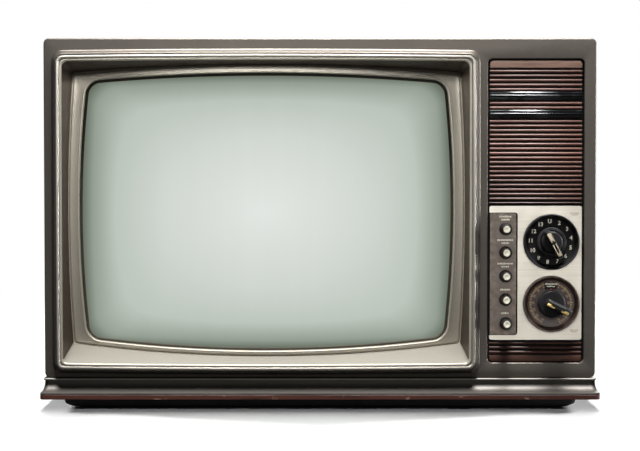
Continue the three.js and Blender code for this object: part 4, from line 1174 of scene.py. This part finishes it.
def make_vhf():
    make_dial("vhf_dial_disc", VHF_Z, VHF_DISH, black, "cabinet", "vhf_dial")
    meshes = []
    for step in range(13):
        dx, dz = around(VHF_NUMERALS_R, -4.0 + 27.69 * step)
        mark = str(step + 1) if step else "U"
        meshes.append(number(mark, DIAL_X + dx, VHF_DISH["face"] - 0.02, VHF_Z + dz, 4.4))
    joined("vhf_numerals", meshes, white_print)
    form = Form()
    collar = [(3.6, 13.5), (3.6, -3.0), (12.4, -3.0), (12.4, -6.6), (12.8, -7.0), (15.2, -7.1), (15.8, -6.7),
              (16.0, -6.0), (16.0, -2.6), (15.6, -2.1), (5.0, -2.1), (5.0, 13.5), (3.6, 13.5)]
    wear = [0, 0, 0, 0.5, 0.7, 0.7, 0.8, 0.4, 0, 0, 0, 0, 0]
    turned(form, collar, DIAL_X, VHF_Z, 96, wear, 48, 0.25, (-6.2, -2.4))
    form.finish("fine_tuning_collar", black, "fine_tuning", smooth=40, replaces=["fine_tuning_ring"])
    drum = [(0, -10.5), (9.6, -10.5), (10.8, -10.2), (11.5, -9.4), (11.8, -8.2), (11.8, -3.5)]
    grip = {"back": 14, "ahead": 20, "high": 25, "wide": 6, "base": 9.5}
    make_selector("vhf", VHF_Z, drum, VHF_POINTS_AT, grip)


def make_selector(name, z, drum, points_at, grip):
    """A selector knob: a round drum on a shaft that runs back to the tuner, with a bar across it."""
    form = Form()
    shaft = [(3.0, -3.5), (3.0, 30), (0, 30)]
    turned(form, drum + shaft, DIAL_X, z, 72, [0, 0.2, 0.4, 0.5, 0.3, 0, 0, 0, 0])
    bar_body(form, z, points_at, grip)
    form.finish(f"{name}_knob_body", black, f"{name}_selector", smooth=40, replaces=[f"{name}_knob"])


def bar_place(z, points_at, along, side, depth):
    """A point on a selector's bar, by its distance along the bar and to its side."""
    turn = math.radians(points_at)
    across = along * math.sin(turn) + side * math.cos(turn)
    return (DIAL_X + across, depth, z + along * math.cos(turn) - side * math.sin(turn))


def bar_body(form, z, points_at, grip):
    """The bar: upright sides, a crowned ridge, and a nose that drops at its pointing end."""
    half, back, ahead, base = grip["wide"] / 2, grip["back"], grip["ahead"], -grip["base"]
    stations = [(-back, 0.55, 3.5), (-back + 0.5, 0.85, 1.4), (-back + 1.6, 1.0, 0.3), (-2, 1.06, 0.0),
                (ahead * 0.6, 1.0, 0.0), (ahead - 3.6, 0.92, 0.5), (ahead - 1.4, 0.78, 2.4),
                (ahead - 0.3, 0.6, 5.0), (ahead, 0.4, 7.5)]
    rings = []
    for along, width, drop in stations:
        w = half * width
        top = drop - grip["high"]
        right = [(w, base), (w, top + 1.6), (w * 0.92, top + 0.7), (w * 0.7, top + 0.15), (w * 0.35, top)]
        section = right + [(-side, depth) for side, depth in reversed(right)]
        rings.append([bar_place(z, points_at, along, side, depth) for side, depth in section])
    form.loft(rings, [0.5] * len(rings))


def make_inlay(name, body, z, points_at, spans, side, wide, depth, material):
    """Thin metal strips let into the top of a bar."""
    form = Form()
    for start, end in spans:
        rings = []
        for along, share in ((start, 0.8), (start + 0.5, 1.0), (end - 0.5, 1.0), (end, 0.75)):
            w = wide / 2 * share
            right = [(w, depth + 0.6), (w, depth + 0.08), (w * 0.8, depth)]
            section = right + [(-s, d) for s, d in reversed(right)]
            rings.append([bar_place(z, points_at, along, side + s, d) for s, d in section])
        form.loft(rings, [0.5] * 4)
    form.finish(name, material, body)


def make_uhf():
    make_dial("uhf_scale_disc", UHF_Z, UHF_DISH, uhf_brown, "uhf_scale", "uhf_dial")
    meshes = []
    for step in range(15):
        degrees = step * UHF_SWEEP / 14 - UHF_SWEEP / 2
        dx, dz = around(UHF_NUMERALS_R, degrees)
        mark = str(14 + 5 * step if step < 14 else 83)
        meshes.append(number(mark, DIAL_X + dx, UHF_DISH["face"] - 0.02, UHF_Z + dz, 2.3, degrees))
    joined("uhf_numerals", meshes, faint_gold, "uhf_scale")
    form = Form()
    for step in range(71):
        degrees = step * UHF_SWEEP / 70 - UHF_SWEEP / 2
        kind, half = ("short", 0.26) if step % 5 else ("long", 0.34)
        tick(form, around(TICKS["inner"], degrees), around(TICKS[kind], degrees), half)
    form.finish("uhf_ticks", gold_print, "uhf_scale")
    drum = [(0, -13), (12.4, -13), (13.8, -12.7), (14.5, -11.9), (14.8, -10.6), (14.8, -3.5)]
    grip = {"back": 8, "ahead": 23, "high": 27, "wide": 8, "base": 12}
    make_selector("uhf", UHF_Z, drum, UHF_POINTS_AT, grip)


def tick(form, inner, outer, half):
    along = Vector(outer) - Vector(inner)
    side = Vector((along.y, -along.x)).normalized() * half
    corners = [Vector(inner) + side, Vector(outer) + side, Vector(outer) - side, Vector(inner) - side]
    face = UHF_DISH["face"]
    rings = [[(DIAL_X + c.x, depth, UHF_Z + c.y) for c in corners] for depth in (face + 0.1, face - 0.06)]
    form.loft(rings)


def make_uhf_lens():
    """A small clear window over the top of the scale, with a red index below it."""
    form = Form()
    pairs = rounded([(-6.5, 15.2), (6.5, 15.2), (7.6, 23.4), (-7.6, 23.4)], [1.2] * 4)
    form.loft([[(DIAL_X + x, d, UHF_Z + z) for x, z in pairs] for d in (-0.6, -1.3)], [0.3, 0.5])
    form.finish("uhf_window", clear, bevel=0.2)
    form = Form()
    rng = random.Random(11)
    bar_row(form, rng, DIAL_X, UHF_Z + 21.3, 12.5, -1.32, 2.2)
    bar_row(form, rng, DIAL_X, UHF_Z + 18.6, 9.0, -1.32, 1.3)
    form.finish("uhf_window_marks", white_print)
    form = Form()
    corners = [(DIAL_X - 0.9, UHF_Z + 15.0), (DIAL_X + 0.9, UHF_Z + 15.0), (DIAL_X, UHF_Z + 17.0)]
    form.loft([[(x, d, z) for x, z in corners] for d in (-1.35, -1.6)])
    form.finish("uhf_index", red_print)


def clear_plastic():
    p = Paint("clear_window", (0.92, 0.93, 0.9, 1.0), 0.06)
    p.shader.inputs["Transmission Weight"].default_value = 0.95
    p.shader.inputs["IOR"].default_value = 1.49
    p.use("Roughness", p.span(p.noise(90.0), 0.3, 0.7, 0.03, 0.12))
    return p.material


clear = clear_plastic()
make_knobs()
make_vhf()
vhf = ("vhf_selector", VHF_Z, VHF_POINTS_AT)
make_inlay("vhf_silver_inlay", *vhf, [(-11.5, -0.8), (1.6, 16.0)], 0.0, 4.2, -25.0, silver_inlay)
make_uhf()
uhf = ("uhf_selector", UHF_Z, UHF_POINTS_AT)
make_inlay("uhf_gold_inlay", *uhf, [(-6.5, 2.6), (10.5, 19.0)], 1.6, 3.2, -27.0, gold_inlay)
make_inlay("uhf_steel_inlay", *uhf, [(-6.5, 14.0)], -2.0, 2.6, -27.0, tin)
make_uhf_lens()


# ---- Back ----

def dress(node, material, bevel):
    """Gives a CAD node its material and softens its edges."""
    made = frame["nodes"][node]
    made.data.materials.clear()
    made.data.materials.append(material)
    if bevel:
        add_bevel(made, bevel, 2)


DRESSED = [
    (back_black, 1.2, ["rear_cover"]),
    (bakelite, 0.4, ["mains_inlet"]),
    (bakelite, 0.5, ["aerial_terminals"]),
    (bakelite, 0.6, ["flyback_transformer"]),
    (black, 0.8, ["aerial_mount"]),
    (black, 0.3, ["left_aerial_swivel", "right_aerial_swivel"]),
    (dag, 0.0, ["tube_funnel"]),
    (copper, 0.6, ["deflection_yoke"]),
    (steel, 0.3, ["tension_band", "speaker_frame", "volume_switch_slider"]),
    (steel, 0.4, ["chassis_tray"]),
    (steel, 0.6, ["power_transformer"]),
    (board, 0.3, ["tube_socket", "control_board"]),
    (board, 0.4, ["circuit_board"]),
    (black_inside, 0.3, ["panel_carrier"]),
    (paper, 0.2, ["speaker_cone"]),
    (tin, 0.5, ["vhf_tuner", "uhf_tuner"]),
    (rubber, 0.3, ["foot_front_left", "foot_front_right", "foot_rear_left", "foot_rear_right"]),
]
DRESSED += [(rod_chrome, 0.2, [f"{side}_aerial_rod_{part}"]) for side in ("left", "right")
            for part in ("outer", "middle", "tip")]
for material, bevel, nodes in DRESSED:
    for node in nodes:
        dress(node, material, bevel)


# ---- Stage ----

# Suns for the floor alone: slope to the right, slope to the front, and strength.
FLOOR_SUNS = [(0.0, 1.8, 0.85), (0.0, 0.0, 0.45), (0.0, -0.06, 0.5), (0.0, -0.12, 0.5), (0.0, -0.18, 0.5),
              (0.0, -0.28, 0.55), (-2.4, -1.0, 3.8), (2.4, -1.0, 3.8)]
PANEL_FACES = ["control_fascia", "control_strip_face"]
PANEL_PRINT = ["strip_marks", "plate_marks", "vhf_numerals", "uhf_numerals", "uhf_ticks", "uhf_scale_disc",
               "uhf_index", "uhf_window_marks", "vhf_silver_inlay", "uhf_gold_inlay"]
PANEL_PRINT += [f"{name}_knob_disc" for name in NAMES]


def make_lights():
    """Steep soft light from above for the set, with a weak fill, and a light of its own for the floor."""
    warm = (1.0, 0.99, 0.97)
    own_light = ["floor", "mask_rim", "mask_moulding", *PANEL_FACES]
    share(sun_light("key", (0.03, 0.16), 3.0, 15.0), "EXCLUDE", *own_light)
    share(sun_light("key_spread", (0.03, 0.26), 2.6, 14.0), "EXCLUDE", *own_light)
    for i, (right, front, strength) in enumerate(FLOOR_SUNS):
        share(sun_light(f"floor_{i}", (right, front), strength, 6.0), "INCLUDE", "floor")
    near_top = area_light("near_top", (0.06, -0.5, 0.8), (0.0, -0.15, 0.3), (0.7, 0.1), 7.0)
    share(near_top, "INCLUDE", "cabinet_front", "walnut_wrap", "louvre_grille")
    fill = area_light("front_fill", (0.2, -2.6, 0.5), (0.0, -0.1, 0.25), (2.4, 1.6), 4.4, warm)
    share(fill, "EXCLUDE", "floor", "mask_moulding")
    graze = area_light("right_graze", (1.5, -0.25, 0.3), (0.2, -0.18, 0.3), (0.1, 0.6), 12.0)
    share(graze, "EXCLUDE", "floor", "mask_moulding", "plinth_moulding")
    share(sun_light("mask_top", (0.0, 0.26), 5.2, 40.0, warm), "INCLUDE", "mask_moulding")
    mask = area_light("mask_light", (-0.2, -2.4, 0.4), (-0.09, 0.0, 0.23), (1.8, 0.8), 1.2, warm)
    share(mask, "INCLUDE", "mask_moulding", "mask_rim")
    above = area_light("mask_near", (-0.09, -0.6, 0.58), (-0.09, 0.0, 0.34), (0.5, 0.12), 3.0, warm)
    share(above, "INCLUDE", "mask_moulding", "mask_rim")
    rim = area_light("rim_light", (0.5, -4.4, 1.2), (-0.09, 0.0, 0.25), (1.8, 1.4), 13.0, warm)
    share(rim, "INCLUDE", "mask_rim")
    panel = area_light("panel_light", (0.1, -1.3, 0.3), (0.25, 0.0, 0.08), (0.8, 0.5), 8.4, warm)
    share(panel, "INCLUDE", *PANEL_FACES, *PANEL_PRINT)
    rear = area_light("rear_fill", (0.6, 3.0, 1.2), (0.0, 0.3, 0.2), (2.0, 1.2), 60.0)
    share(rear, "EXCLUDE", "floor", "cabinet_front", "mask_moulding", "mask_rim")


def make_stage():
    make_camera()
    make_floor()
    make_world()
    make_lights()
    view = bpy.context.scene.view_settings
    view.view_transform = "Standard"
    view.look = "None"


make_stage()
